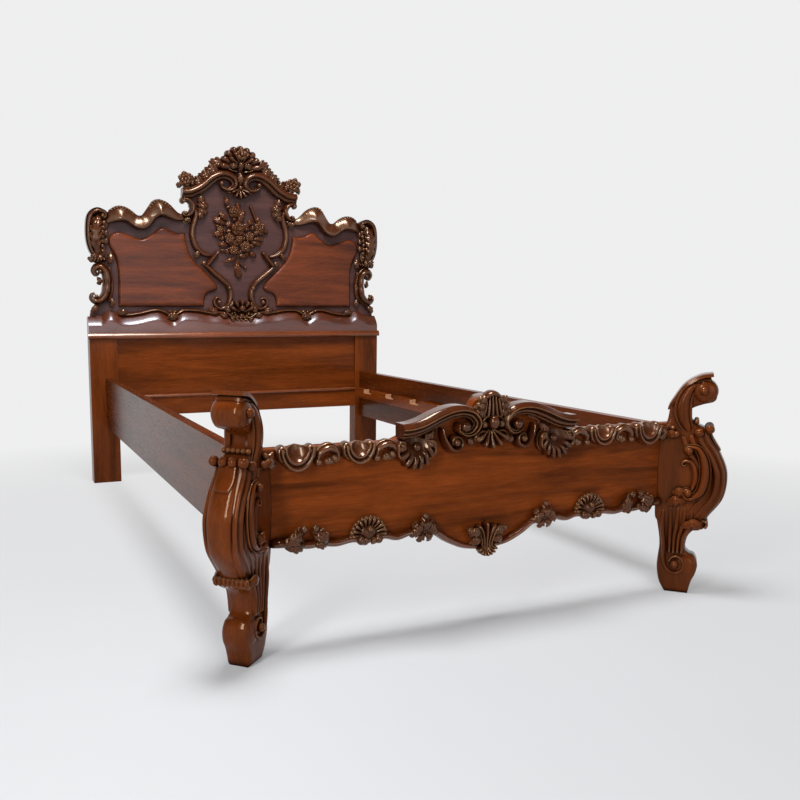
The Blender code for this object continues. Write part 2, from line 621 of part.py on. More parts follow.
def foot_carvings():
    """The carved pieces on the front of the footboard panel."""
    back = -SEAT
    arm = stroke(FOOT_ARM, FOOT_ARM_WIDTH)
    scroll = lobed(FOOT_SCROLL_PLACE, FOOT_SCROLL_RADIUS, FOOT_SCROLL_LOBES, FOOT_SCROLL_LOBE_SHARE)
    ruffle = lobed(RUFFLE_PLACE, RUFFLE_RADIUS, RUFFLE_LOBES)
    for label, side in SIDES:
        carving("foot_frieze_" + label, on_foot(FRIEZE, side, FOOT_PANEL_TOP), back, FRIEZE_DEPTH)
        for piece, outline, depth in (("arm", arm, FOOT_ARM_DEPTH), ("scroll", scroll, FOOT_SCROLL_DEPTH),
                                      ("ruffle", ruffle, RUFFLE_DEPTH)):
            drawn = on_foot(outline, side, FOOT_PANEL_TOP)
            carving("foot_" + piece + "_" + label, drawn, back, depth, rounded=False)
        lower_moulding(label, side, back)
    carving("foot_crest", on_foot(symmetric(FOOT_CREST), 1, FOOT_PANEL_TOP), back, FOOT_CREST_DEPTH)
    carving("foot_centre_shell", on_foot(symmetric(CENTRE_SHELL), 1, RAIL_BOTTOM), back, CENTRE_SHELL_DEPTH)


def lower_moulding(label, side, back):
    """The bead along the lower edge, carved in one strip with its shells and leaves."""
    bead = on_foot(stroke(LOWER_BEAD, LOWER_BEAD_WIDTH), side, RAIL_BOTTOM)
    strip = carving("foot_lower_moulding_" + label, bead, back, LOWER_MOULDING_DEPTH, rounded=False)
    for index, (across, height, radius) in enumerate(LOWER_SHELL_PLACES):
        outline = on_foot(lobed((across, height), radius, LOWER_SHELL_LOBES), side, RAIL_BOTTOM)
        tool = flat_curve("lower_shell_" + label + str(index), [outline], LOWER_MOULDING_DEPTH, False)
        upright(tool, (0, back - SLIP - LOWER_MOULDING_DEPTH / 2))
        combine(strip, to_mesh(tool), "UNION", "MANIFOLD")


def leg_width(height):
    """The thickness of a leg at a height."""
    height /= LEG_STRETCH
    for (low, thin), (high, thick) in zip(LEG_THICKNESS, LEG_THICKNESS[1:]):
        if height <= high:
            return thin + (thick - thin) * (height - low) / (high - low)
    return LEG_THICKNESS[-1][1]


def legs():
    """The scroll legs, set diagonally across the corners of the footboard."""
    for label, side in SIDES:
        turn = -math.pi / 2 + side * math.pi / 4
        outward = Vector((math.cos(turn), math.sin(turn), 0))
        sideways = Vector((-side * abs(outward.y), -abs(outward.x), 0))
        place = Vector((side * RAIL_OUTER, 0, 0)) + sideways * LEG_SHIFT
        block = flat_curve("foot_leg_" + label, [on_leg(LEG_OUTLINE)], 1.0, True)
        upright(block, place, turn)
        leg = to_mesh(block)
        for corner in leg.data.vertices:
            offset = (corner.co - place).dot(sideways)
            corner.co += sideways * offset * (leg_width(corner.co.z) - 1)
        add_part(leg, CARVED_WOOD)
        for face in (-1, 1):
            depth = LEG_STRAP_RELIEF + LEG_STRAP_ROOT
            middle = leg_width(LEG_STRETCH * LEG_STRAP[0][1]) / 2 - LEG_STRAP_ROOT + depth / 2
            outline = on_leg(stroke(LEG_STRAP, LEG_STRAP_WIDTH))
            strap = flat_curve("leg_strap_" + label + str(face), [outline], depth, False)
            upright(strap, place + sideways * face * middle, turn)
            combine(leg, to_mesh(strap), "UNION")
        inner, outer = -side * RAIL_OUTER, side * (RAIL_OUTER + SEAT)
        notch = box("leg_notch_" + label, (min(inner, outer), -SEAT, RAIL_BOTTOM - SEAT),
                    (max(inner, outer), RAIL_FOOT_END, FOOT_PANEL_TOP + SEAT))
        combine(leg, notch, "DIFFERENCE")


def centre_on_origin():
    """Move the bed so that the origin lies on the floor under the middle of its outline."""
    bpy.context.view_layer.update()
    graph = bpy.context.evaluated_depsgraph_get()
    places = []
    for node in PARTS.objects:
        if node.type != "MESH":
            continue
        seen = node.evaluated_get(graph)
        places += [seen.matrix_world @ Vector(corner) for corner in seen.bound_box]
    middle = (min(place.y for place in places) + max(place.y for place in places)) / 2
    BED.location.y -= middle


clear_scene()
PARTS = new_collection("carved_bed")
CUTTERS = new_collection("cutters")
BED = bpy.data.objects.new("bed_frame", None)
PARTS.objects.link(BED)
head_posts()
lower_headboard()
cove_cap()
half_round()
upper_board()
head_carvings()
side_rails()
corner_posts()
foot_panel()
foot_carvings()
legs()
centre_on_origin()
print("ok", len(PARTS.objects) - 1, "pieces")
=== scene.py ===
"""Looks of a carved rococo bed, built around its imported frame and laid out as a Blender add-on."""

import math

import bmesh
import bpy
import numpy as np
from bpy.props import FloatProperty, FloatVectorProperty, IntProperty, PointerProperty
from mathutils import Matrix, Vector
from mathutils.geometry import delaunay_2d_cdt


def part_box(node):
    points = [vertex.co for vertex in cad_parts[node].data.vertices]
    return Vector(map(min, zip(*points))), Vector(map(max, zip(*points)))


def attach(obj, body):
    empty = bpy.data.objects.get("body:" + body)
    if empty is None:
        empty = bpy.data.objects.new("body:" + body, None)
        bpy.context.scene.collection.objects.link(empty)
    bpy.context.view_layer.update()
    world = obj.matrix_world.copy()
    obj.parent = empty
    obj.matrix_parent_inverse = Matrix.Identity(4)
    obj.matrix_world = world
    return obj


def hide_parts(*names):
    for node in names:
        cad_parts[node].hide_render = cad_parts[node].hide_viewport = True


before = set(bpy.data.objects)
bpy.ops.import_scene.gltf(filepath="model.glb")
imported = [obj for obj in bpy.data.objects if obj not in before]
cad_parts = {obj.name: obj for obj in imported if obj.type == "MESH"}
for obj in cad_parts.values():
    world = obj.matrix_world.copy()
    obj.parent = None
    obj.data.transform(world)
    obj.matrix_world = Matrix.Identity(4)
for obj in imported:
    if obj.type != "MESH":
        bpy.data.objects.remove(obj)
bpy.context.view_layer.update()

bl_info = {
    "name": "Carved rococo bed",
    "version": (1, 0, 0),
    "blender": (4, 5, 0),
    "location": "View3D > Sidebar > Bed",
    "description": "Builds the boards, carvings and scroll legs of a carved bed on its packed frame",
    "category": "Add Mesh",
}

# Places taken from the frame
BOARD_LOW, BOARD_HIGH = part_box("head_upper_board")
BOARD_FACE = BOARD_LOW.y
BOARD_FOOT = BOARD_LOW.z
COVE_LOW, COVE_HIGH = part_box("head_cove")
ROUND_LOW, ROUND_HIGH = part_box("head_half_round")
FOOT_PANEL_LOW, FOOT_PANEL_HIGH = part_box("foot_panel")
PANEL_FACE = FOOT_PANEL_LOW.y
PANEL_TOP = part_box("foot_frieze_right")[1].z
RAIL_LOW, RAIL_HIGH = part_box("side_rail_right")
LOWER_RAIL_LOW, LOWER_RAIL_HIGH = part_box("head_lower_rail")
HALF_WIDTH = RAIL_HIGH.x
SIDES = {"left": -1, "right": 1}
TRACK_STEP = 0.004
SINK = 0.004
CORNER = 1
DIAGONAL = math.sqrt(0.5)
FULL_BEND = 380
SOFT_ARRIS = 0.002
STEEL_ARRIS = 0.0004
BOARD_SHARP = 35

# The stage, in metres and degrees
FLOOR_FRONT, FLOOR_BACK, FLOOR_TOP, FLOOR_HALF = -9.0, 4.5, 9.0, 14
FLOOR_CURVE = 2.5
CAMERA_PLACE = (-1.1738, -2.8309, 0.8072)
CAMERA_YAW, CAMERA_PITCH, CAMERA_ROLL = 23.436, 7.601, 0.2455
CAMERA_SHIFT = (0.0693, 0.0221)


def unit(rows):
    """The rows as vectors of length one."""
    return rows / np.maximum(np.linalg.norm(rows, axis=-1, keepdims=True), 1e-9)


def smooth_track(rows, step=TRACK_STEP, places=2):
    """Evenly spaced rows on a smooth curve through the given rows. The first columns are a place."""
    rows = np.asarray(rows, float)
    around = np.vstack([2 * rows[0] - rows[1], rows, 2 * rows[-1] - rows[-2]])
    share = np.linspace(0, 1, 20, endpoint=False)[:, None]
    fine = []
    for before, start, end, after in zip(around, around[1:], around[2:], around[3:]):
        bow = (2 * before - 5 * start + 4 * end - after) * share ** 2
        bow += (3 * start - before - 3 * end + after) * share ** 3
        fine.append(start + 0.5 * ((end - before) * share + bow))
    fine = np.vstack(fine + [rows[-1:]])
    return even_rows(fine, step, places)


def even_rows(rows, step, places=2):
    """The same line with its rows at even distances."""
    reach = np.concatenate([[0], np.cumsum(np.linalg.norm(np.diff(rows[:, :places], axis=0), axis=1))])
    even = np.linspace(0, reach[-1], max(int(round(reach[-1] / step)), 4) + 1)
    return np.column_stack([np.interp(even, reach, column) for column in rows.T])


def closed_outline(points, step=TRACK_STEP):
    """A closed smooth outline through (across, up) points, with a corner wherever a third value says so."""
    places = np.array([point[:2] for point in points], float)
    sharp = [index for index, point in enumerate(points) if len(point) > 2]
    if not sharp:
        rounds = np.vstack([places[-3:], places, places[:3]])
        line = smooth_track(rounds, step / 4)
        first = np.argmin(np.linalg.norm(line[: len(line) // 2] - places[0], axis=1))
        last = len(line) // 2 + np.argmin(np.linalg.norm(line[len(line) // 2:] - places[0], axis=1))
        return even_rows(line[first:last + 1], step)[:-1]
    pieces = []
    for start, end in zip(sharp, sharp[1:] + [sharp[0] + len(places)]):
        stretch = [places[index % len(places)] for index in range(start, end + 1)]
        pieces.append(smooth_track(stretch, step)[:-1])
    return np.vstack(pieces)


def mirrored(rows, side=-1):
    """The same rows on the given side of the middle line."""
    return [(side * row[0], *row[1:]) for row in rows]


def whole(half):
    """A right-hand outline that ends on the middle line, with its mirror image on the left."""
    return half + mirrored(half[-2::-1])


def flat(depth):
    """The same depth at every height."""
    return lambda up: np.full_like(up, depth)


def curl(track, turns, radius, way, shrink=0.75, thin=0.6):
    """A track carried on into a spiral, and the eye in the middle of it."""
    ahead = unit(track[-1, :2] - track[-2, :2])
    heart = track[-1, :2] + way * radius * np.array([-ahead[1], ahead[0]])
    start = track[-1, :2] - heart
    count = max(int(turns * 28), 6)
    share = np.linspace(0, 1, count + 1)[1:]
    angle = math.atan2(start[1], start[0]) + way * share * turns * 2 * math.pi
    reach = radius * (1 - shrink * share)
    rows = np.repeat(track[-1:], count, axis=0)
    rows[:, 0] = heart[0] + reach * np.cos(angle)
    rows[:, 1] = heart[1] + reach * np.sin(angle)
    rows[:, 2] *= 1 - thin * share
    return np.vstack([track, rows]), heart


def scroll(rows, start=None, end=None, step=TRACK_STEP):
    """A smooth track with a spiral (turns, radius, way) at either end, and the eyes of the spirals."""
    track = smooth_track(rows, step)
    eyes = []
    if end:
        track, eye = curl(track, *end)
        eyes.append(eye)
    if start:
        track, eye = curl(track[::-1], *start)
        track = track[::-1]
        eyes.append(eye)
    return track, eyes


def inset(outline, distance):
    """A closed outline moved inward."""
    ahead = unit(np.roll(outline, -1, axis=0) - np.roll(outline, 1, axis=0))
    area = np.sum(outline[:, 0] * np.roll(outline[:, 1], -1) - outline[:, 1] * np.roll(outline[:, 0], -1))
    return outline + math.copysign(distance, area) * np.column_stack([-ahead[:, 1], ahead[:, 0]])


def edge_distance(places, outline):
    """How far each place is from a closed outline."""
    ends = np.roll(outline, -1, axis=0)
    run = ends - outline
    share = np.sum((places[:, None] - outline[None]) * run[None],
                   axis=2) / np.maximum(np.sum(run ** 2, axis=1), 1e-12)
    near = outline[None] + np.clip(share, 0, 1)[..., None] * run[None]
    return np.min(np.linalg.norm(places[:, None] - near, axis=2), axis=1)


def filled(outline, edge, spacing):
    """Points and triangles that fill a closed outline. The edge gives (distance inward, level) steps."""
    steps, levels = np.array(edge).T
    groups = [outline]
    for step in steps[steps > 0]:
        ring = inset(outline, step)
        groups.append(ring[edge_distance(ring, outline) > step - 0.0002])
    low, high = outline.min(0), outline.max(0)
    lattice = np.stack(np.meshgrid(np.arange(low[0], high[0], spacing),
                                   np.arange(low[1], high[1], spacing)), -1)
    lattice = lattice.reshape(-1, 2)
    groups.append(lattice[edge_distance(lattice, outline) > steps.max() + spacing * 0.4])
    places = np.vstack(groups)
    count = len(outline)
    border = [(index, (index + 1) % count) for index in range(count)]
    found = delaunay_2d_cdt([Vector(place) for place in places], border, [list(range(count))], 1, 1e-7)
    spots = np.array([tuple(place) for place in found[0]])
    level = np.interp(edge_distance(spots, outline), steps, levels)
    return np.column_stack([spots, level]), [list(face) for face in found[2]]


def beaded(line, counts, bulge):
    """A section along a line of (side, height) corners, with a number of round beads on each stretch."""
    rows = []
    for start, end, count in zip(line, line[1:], counts):
        start, end = np.array(start, float), np.array(end, float)
        share = np.linspace(0, 1, 8 * count + 1 if count else 3)[:-1]
        rise = bulge * np.abs(np.sin(math.pi * count * share)) ** 0.7 if count else 0 * share
        normal = unit(np.array([[-(end - start)[1], (end - start)[0]]]))[0]
        rows.append(start + share[:, None] * (end - start) + rise[:, None] * normal)
    return np.vstack(rows + [np.array([line[-1]], float)])


def section(points, count=21):
    """A smooth moulding section through (side, height) points."""
    line = smooth_track(points, 0.01)
    reach = np.linspace(0, len(line) - 1, count)
    return np.column_stack([np.interp(reach, np.arange(len(line)), column) for column in line.T])


ARRIS = [(0.0, -0.003), (0.001, -0.0012), (0.003, 0.0)]
LEG_ARRIS = [(0.0, -0.006), (0.0015, -0.003), (0.004, -0.0008), (0.007, 0.0)]
ROUND = np.column_stack([-0.5 * np.cos(np.linspace(0, math.pi, 11)), np.sin(np.linspace(0, math.pi, 11))])
FILLET = np.array([(-0.5, 0), (-0.48, 0.8), (-0.4, 1), (0, 1), (0.4, 1), (0.48, 0.8), (0.5, 0)], float)
SCROLL = section([(-0.5, 0), (-0.5, 0.3), (-0.42, 0.62), (-0.2, 0.95), (0.04, 1.0), (0.24, 0.8),
                  (0.32, 0.5), (0.36, 0.42), (0.44, 0.52), (0.5, 0.34), (0.5, 0)], 29)
BAND = section([(-0.5, 0), (-0.5, 0.5), (-0.44, 0.72), (-0.38, 0.62), (-0.32, 0.66), (-0.16, 0.94),
                (0, 1.0), (0.16, 0.94), (0.32, 0.66), (0.38, 0.62), (0.44, 0.72), (0.5, 0.5), (0.5, 0)], 33)
ARM = section([(-0.5, 0), (-0.5, 0.60), (-0.47, 0.72), (-0.36, 0.82), (-0.2, 0.94), (-0.1, 0.97),
               (-0.05, 0.9), (-0.02, 0.8), (0.04, 0.76), (0.14, 0.8), (0.24, 0.77), (0.3, 0.68),
               (0.33, 0.6), (0.38, 0.63), (0.44, 0.61), (0.48, 0.48), (0.5, 0.25), (0.5, 0)], 61)


class Carver:
    """Gathers the closed shells of one carved piece, drawn on a face as (across, up, out) in metres."""

    def __init__(self, origin, across, out):
        self.origin = np.array(origin, float)
        self.axes = np.array([across, (0, 0, 1), out], float)
        self.points = []
        self.faces = []
        self.count = 0

    def add(self, points, faces):
        """One closed shell."""
        self.points.append(self.origin + points @ self.axes)
        for group in faces:
            self.faces.extend((np.asarray(group) + self.count).tolist())
        self.count += len(points)

    def tube(self, grid):
        """A shell from a grid of rings, closed at both ends."""
        rows, columns = grid.shape[:2]
        index = np.arange(rows * columns).reshape(rows, columns)
        ahead = np.roll(index, -1, axis=1)
        quads = np.stack([index[:-1], ahead[:-1], ahead[1:], index[1:]], -1).reshape(-1, 4)
        first = np.full(columns, rows * columns)
        caps = np.vstack([np.stack([first, ahead[0], index[0]], -1),
                          np.stack([first + 1, index[-1], ahead[-1]], -1)])
        points = np.vstack([grid.reshape(-1, 3), grid[0].mean(0)[None], grid[-1].mean(0)[None]])
        self.add(points, [quads, caps])

    def sheet(self, front, back):
        """A shell from a front grid and a back grid with the same rows."""
        rows, columns = front.shape[:2]
        index = np.arange(rows * columns).reshape(rows, columns)
        over = index + rows * columns
        faces = np.stack([index[:-1, :-1], index[:-1, 1:], index[1:, 1:], index[1:, :-1]],
                         -1).reshape(-1, 4)
        border = np.concatenate([index[0], index[1:, -1], index[-1, -2::-1], index[-2:0:-1, 0]])
        ahead = np.roll(border, -1)
        rim = np.stack([border, border + rows * columns, ahead + rows * columns, ahead], -1)
        behind = np.stack([over[:-1, :-1], over[1:, :-1], over[1:, 1:], over[:-1, 1:]], -1).reshape(-1, 4)
        self.add(np.vstack([front.reshape(-1, 3), back.reshape(-1, 3)]), [faces, behind, rim])

    def sweep(self, track, profile, rise, lift=0.0, taper=0.6, edge=0, ends=(1, 1), ribs=0, rib_depth=0.35,
              face=1):
        """A moulding along rows of (across, up, width): a profile of (side, height) raised out of the face.
        With edge it runs round an outline instead, and its profile stands out of that outline."""
        track = np.asarray(track, float)
        ahead = unit(np.gradient(track[:, :2], axis=0))
        height = (track[:, 2] / track[:, 2].max()) ** taper
        if ribs:
            share = np.linspace(0, 1, len(track))
            height = height * (1 - rib_depth * np.abs(np.cos(math.pi * ribs * share)) ** 3)
        swell = np.ones(len(track))
        for end in (0, 1):
            if not ends[end]:
                continue
            turn = np.radians([25, 50, 70, 84]) if end else np.radians([84, 70, 50, 25])
            rows = np.repeat(track[-end:][:1], 4, axis=0)
            rows[:, :2] += (1 if end else -1) * np.outer(np.sin(turn) * rows[0, 2] / 2 * ends[end],
                                                         ahead[-end])
            groups = [(track, rows), (ahead, np.repeat(ahead[-end:][:1], 4, axis=0)),
                      (height, np.repeat(height[-end:][:1], 4)), (swell, np.cos(turn))]
            joined = [np.concatenate(group if end else group[::-1]) for group in groups]
            track, ahead, height, swell = joined
        left = np.column_stack([-ahead[:, 1], ahead[:, 0]])
        loop = np.vstack([profile, [(profile[-1][0], -SINK / rise), (profile[0][0], -SINK / rise)]])
        if edge:
            loop = np.vstack([profile, [(profile[-1][0] * 0.9, 0.0), (profile[0][0] * 0.9, 0.0)]])
        side = np.outer(track[:, 2] * swell, loop[:, 0])
        out = lift + np.outer(rise * height * swell, loop[:, 1])
        out = out + (track[:, 3:4] if track.shape[1] > 3 else 0)
        grid = np.zeros(side.shape + (3,))
        in_plane, away = (out * edge, side) if edge else (side, out)
        grid[..., :2] = track[:, None, :2] + in_plane[..., None] * left[:, None, :]
        grid[..., 2] = away * face
        self.tube(grid)

    def curled(self, drawn, eye, *moulding, **options):
        """A moulding along a drawn scroll, with a ball of (level, radius) in each eye."""
        track, hearts = drawn
        self.sweep(track, *moulding, **options)
        for heart in hearts:
            self.ball((*heart, eye[0]), eye[1])

    def ball(self, place, radius, squash=1.0, stretch=1.0):
        """A ball; squash flattens it against the face and stretch makes it taller."""
        turn, tilt = np.meshgrid(np.linspace(0, 2 * math.pi, 16, endpoint=False),
                                 np.linspace(0.12, math.pi - 0.12, 9))
        grid = np.stack([np.sin(tilt) * np.cos(turn), np.sin(tilt) * np.sin(turn) * stretch,
                         np.cos(tilt) * squash], -1)
        self.tube(np.asarray(place, float) + radius * grid)

    def berries(self, rows, pitch, squash=0.8):
        """A string of balls along rows of (across, up, out, radius)."""
        for across, up, out, radius in smooth_track(rows, pitch, 3):
            self.ball((across, up, out), radius, squash)

    def leaf(self, spine, width, lobes=3, lean=0.45, crown=0.22, thick=0.003, base=0.4, tip=0.15,
             out=(0, 0, 1)):
        """A carved leaf along a spine of (across, up, out), with scalloped, grooved lobes and a midrib."""
        rows = lobes * 7 + 3
        line = smooth_track(spine, 0.001, 3)
        reach = np.linspace(0, len(line) - 1, rows)
        line = np.column_stack([np.interp(reach, np.arange(len(line)), column) for column in line.T])
        ahead = unit(np.gradient(line, axis=0))
        side = unit(np.cross(ahead, np.asarray(out, float)))
        up = np.cross(side, ahead)
        share = np.linspace(0, 1, rows)
        over = np.linspace(-1, 1, 11)
        body = base + (1 - base) * np.sin(math.pi / 2 * np.clip(share / 0.45, 0, 1))
        body = body * np.sqrt(1 - np.clip((share - 0.45) / 0.55, 0, 1) ** 2 * (1 - tip ** 2))
        notch = np.sqrt(np.sin(math.pi * np.clip((share * lobes * 0.999) % 1, 0.03, 0.97)))
        half = width / 2 * body * (0.66 + 0.34 * notch)
        raised = crown * width * body[:, None] * (1 - over ** 2)
        raised = raised - 0.12 * width * (body * (1 - notch))[:, None] * np.abs(over)
        raised = raised - 0.07 * width * body[:, None] * np.exp(-(over / 0.16) ** 2)
        forward = lean * half[:, None] * np.abs(over) ** 1.5
        front = line[:, None] + side[:, None] * (half[:, None] * over)[..., None]
        front = front + ahead[:, None] * forward[..., None] + up[:, None] * raised[..., None]
        back = front - up[:, None] * (thick + raised * 0.9)[..., None]
        self.sheet(front, back)

    def sprig(self, base, tip, levels, width, lobes=3, lean=0.45, side=1):
        """A straight leaf from base to tip; the levels are how far its base, middle and tip stand out."""
        middle = ((base[0] + tip[0]) / 2, (base[1] + tip[1]) / 2)
        spine = [(*spot, level) for spot, level in zip((base, middle, tip), levels)]
        self.leaf(mirrored(spine, side), width, lobes, lean)

    def fan(self, place, start, end, count, inner, outer, width, rise, lift=0.0):
        """A palmette: round fingers spread from one angle to another in degrees."""
        for number in range(count):
            share = number / max(count - 1, 1)
            angle = math.radians(start + (end - start) * share)
            ahead = np.array([math.cos(angle), math.sin(angle)])
            rows = []
            for part, swell in ((0.0, 0.45), (0.4, 0.75), (0.75, 1.0), (1.0, 0.92)):
                place_now = np.asarray(place) + ahead * (inner + (outer - inner) * part)
                rows.append((*place_now, width * swell, 0.35 * rise * part ** 2))
            self.sweep(smooth_track(rows, 0.003), ROUND, rise, lift)

    def dish(self, place, width, drop, rise, rings, shift, frill=0, frill_depth=0.1):
        """A hanging shell: nested crescents round a smooth hollow, with a plain or frilled rim."""
        turn = np.linspace(0, math.pi, 12 * frill + 1 if frill else 49)[:, None]
        part = np.linspace(0.02, 1, 12 * rings + 7)[None]
        ring = np.clip((part - 0.55) / 0.45, 0, 1)
        step = np.abs(np.sin(math.pi * rings * ring)) ** 0.6
        level = 0.62 + 0.1 * ring + 0.28 * step * (ring > 0)
        level = np.where(part < 0.55, 0.06 + 0.6 * (part / 0.55) ** 1.9, level)
        level = level * np.clip((1 - part) / 0.05, 0, 1) ** 0.5
        if frill:
            lobe = np.abs(np.cos(frill * turn / 2 + 1.6 * ring))
            level = level * (1 - 0.5 * ring ** 0.5 * (1 - lobe) ** 1.5)
            rim = 1 + frill_depth * part ** 3 * (lobe - 0.5)
        else:
            rim = 1 + 0 * turn
        front = np.zeros((len(turn), part.shape[1], 3))
        front[..., 0] = place[0] + width / 2 * part * rim * np.cos(turn)
        front[..., 1] = place[1] - drop * (part * rim * np.sin(turn) - shift * (1 - part))
        front[..., 2] = rise * level
        back = front.copy()
        back[..., 2] = -SINK
        self.sheet(front, back)

    def flower(self, place, radius, petals, rise, layers, tilt=(0.0, 0.0)):
        """A flower of cupped petals in layers round a button, leaning by tilt."""
        for layer in range(layers):
            reach = radius * (1 - 0.36 * layer)
            for number in range(petals):
                angle = 2 * math.pi * (number + 0.5 * layer + 0.25) / petals
                ahead = np.array([math.cos(angle), math.sin(angle)])
                spine = []
                for part, level in ((0.12, 0.25), (0.6, 0.55), (0.9, 0.62), (1.02, 0.42)):
                    spot = ahead * reach * part
                    out = place[2] + rise * (level + 0.32 * layer) + spot[0] * tilt[0] + spot[1] * tilt[1]
                    spine.append((place[0] + spot[0], place[1] + spot[1], out))
                self.leaf(spine, reach * 1.75 * math.sin(math.pi / petals), 1, 0.1, 0.24, 0.002, 0.4, 0.4)
        self.ball((place[0], place[1], place[2] + rise * 0.95), radius * 0.24, 0.8)

    def slab(self, outline, back, front, edge, spacing=0.02):
        """A board cut to an outline. Back and front give its depth by height, and edge its worked arris."""
        points, faces = filled(outline, edge, spacing)
        count = len(points)
        top = points.copy()
        top[:, 2] += front(points[:, 1])
        under = points.copy()
        under[:, 2] = back(points[:, 1]) - points[:, 2]
        rim = [(index, (index + 1) % len(outline)) for index in range(len(outline))]
        walls = [(start, start + count, end + count, end) for start, end in rim]
        flipped = [[corner + count for corner in reversed(face)] for face in faces]
        self.add(np.vstack([top, under]), [faces, flipped, walls])

    def finish(self, name, material, slot, replaces=(), body="frame", sharp=48.0):
        """The piece as one object that rides on the frame."""
        mesh = bpy.data.meshes.new(name)
        mesh.from_pydata(np.vstack(self.points).tolist(), [], self.faces)
        shape = bmesh.new()
        shape.from_mesh(mesh)
        bmesh.ops.recalc_face_normals(shape, faces=shape.faces)
        shape.to_mesh(mesh)
        shape.free()
        mesh.shade_smooth()
        mesh.set_sharp_from_angle(angle=math.radians(sharp))
        mark_relief(mesh)
        mesh.materials.append(material)
        piece = bpy.data.objects.new(name, mesh)
        bpy.context.scene.collection.objects.link(piece)
        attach(piece, body)
        if replaces:
            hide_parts(*replaces)
        return piece


def plain_back(piece, material):
    """Leaves the back of a piece in plain wood."""
    piece.data.materials.append(material)
    for face in piece.data.polygons:
        if face.normal.y > 0.9:
            face.material_index = 1


def mark_relief(mesh):
    """Stores how proud of its neighbours each point stands, for the worn golden high points with some
    painted highlight and the dark glazing with painted shade in the hollows.
    """
    count = len(mesh.vertices)
    place = np.empty(count * 3, np.float32)
    normal = np.empty(count * 3, np.float32)
    ends = np.empty(len(mesh.edges) * 2, np.int32)
    mesh.vertices.foreach_get("co", place)
    mesh.vertex_normals.foreach_get("vector", normal)
    mesh.edges.foreach_get("vertices", ends)
    place, normal = place.reshape(-1, 3), normal.reshape(-1, 3)
    first, second = ends.reshape(-1, 2).T
    step = place[second] - place[first]
    bend = np.sum((normal[second] - normal[first]) * step, axis=1) / np.maximum(np.sum(step ** 2, axis=1),
                                                                                1e-8)
    share = np.maximum(np.bincount(first, None, count) + np.bincount(second, None, count), 1)
    proud = np.clip((np.bincount(first, bend, count) + np.bincount(second, bend,
                                                                   count)) / share / FULL_BEND, -1, 1)
    around = np.bincount(first, proud[second], count) + np.bincount(second, proud[first], count)
    proud = 0.5 * proud + 0.5 * around / share
    mesh.attributes.new("relief", "FLOAT", "POINT").data.foreach_set("value", proud.astype(np.float32))


class Finish:
    """A short way to write the nodes of one material, or of the world."""

    def __init__(self, owner):
        owner.use_nodes = True
        self.material = owner
        self.nodes = owner.node_tree.nodes
        self.links = owner.node_tree.links
        self.shader = self.nodes.get("Principled BSDF")

    def node(self, kind, inputs=None, **settings):
        """A node with its settings, and its inputs given as values or as the outputs that feed them."""
        made = self.nodes.new("ShaderNode" + kind)
        for key, value in settings.items():
            setattr(made, key, value)
        self.feed(made, inputs or {})
        return made

    def feed(self, node, inputs):
        for key, value in inputs.items():
            if isinstance(value, bpy.types.NodeSocket):
                self.links.new(value, node.inputs[key])
            else:
                node.inputs[key].default_value = value

    def ramp(self, fac, stops):
        """A colour ramp with (position, colour) stops."""
        made = self.node("ValToRGB", {"Fac": fac})
        bar = made.color_ramp.elements
        while len(bar) < len(stops):
            bar.new(0.5)
        for element, (position, colour) in zip(bar, stops):
            element.position = position
            element.color = (*colour, 1)
        return made.outputs["Color"]

    def blend(self, fac, first, second, kind="MIX"):
        """Two colours mixed."""
        made = self.node("Mix", data_type="RGBA", blend_type=kind)
        sockets = {"Factor": made.inputs[0], "A": made.inputs[6], "B": made.inputs[7]}
        for key, value in (("Factor", fac), ("A", first), ("B", second)):
            if isinstance(value, bpy.types.NodeSocket):
                self.links.new(value, sockets[key])
            else:
                sockets[key].default_value = value if key == "Factor" else (*value, 1)
        return made.outputs[2]

    def combine(self, operation, first, second):
        """The result of one operation on two values."""
        return self.node("Math", {0: first, 1: second}, operation=operation).outputs[0]

    def between(self, value, low, high, to_low=0.0, to_high=1.0):
        """A value carried from one range to another."""
        made = self.node("MapRange", {"Value": value, "From Min": low, "From Max": high, "To Min": to_low,
                                      "To Max": to_high})
        return made.outputs["Result"]


AMBER = (1.0, 0.8, 0.64)
COPPER = (1.0, 0.66, 0.40)
CLEAR = (0.84, 0.90, 1.0)


def shade(colour, share):
    """A colour made darker or lighter."""
    return tuple(min(channel * share, 1.0) for channel in colour)


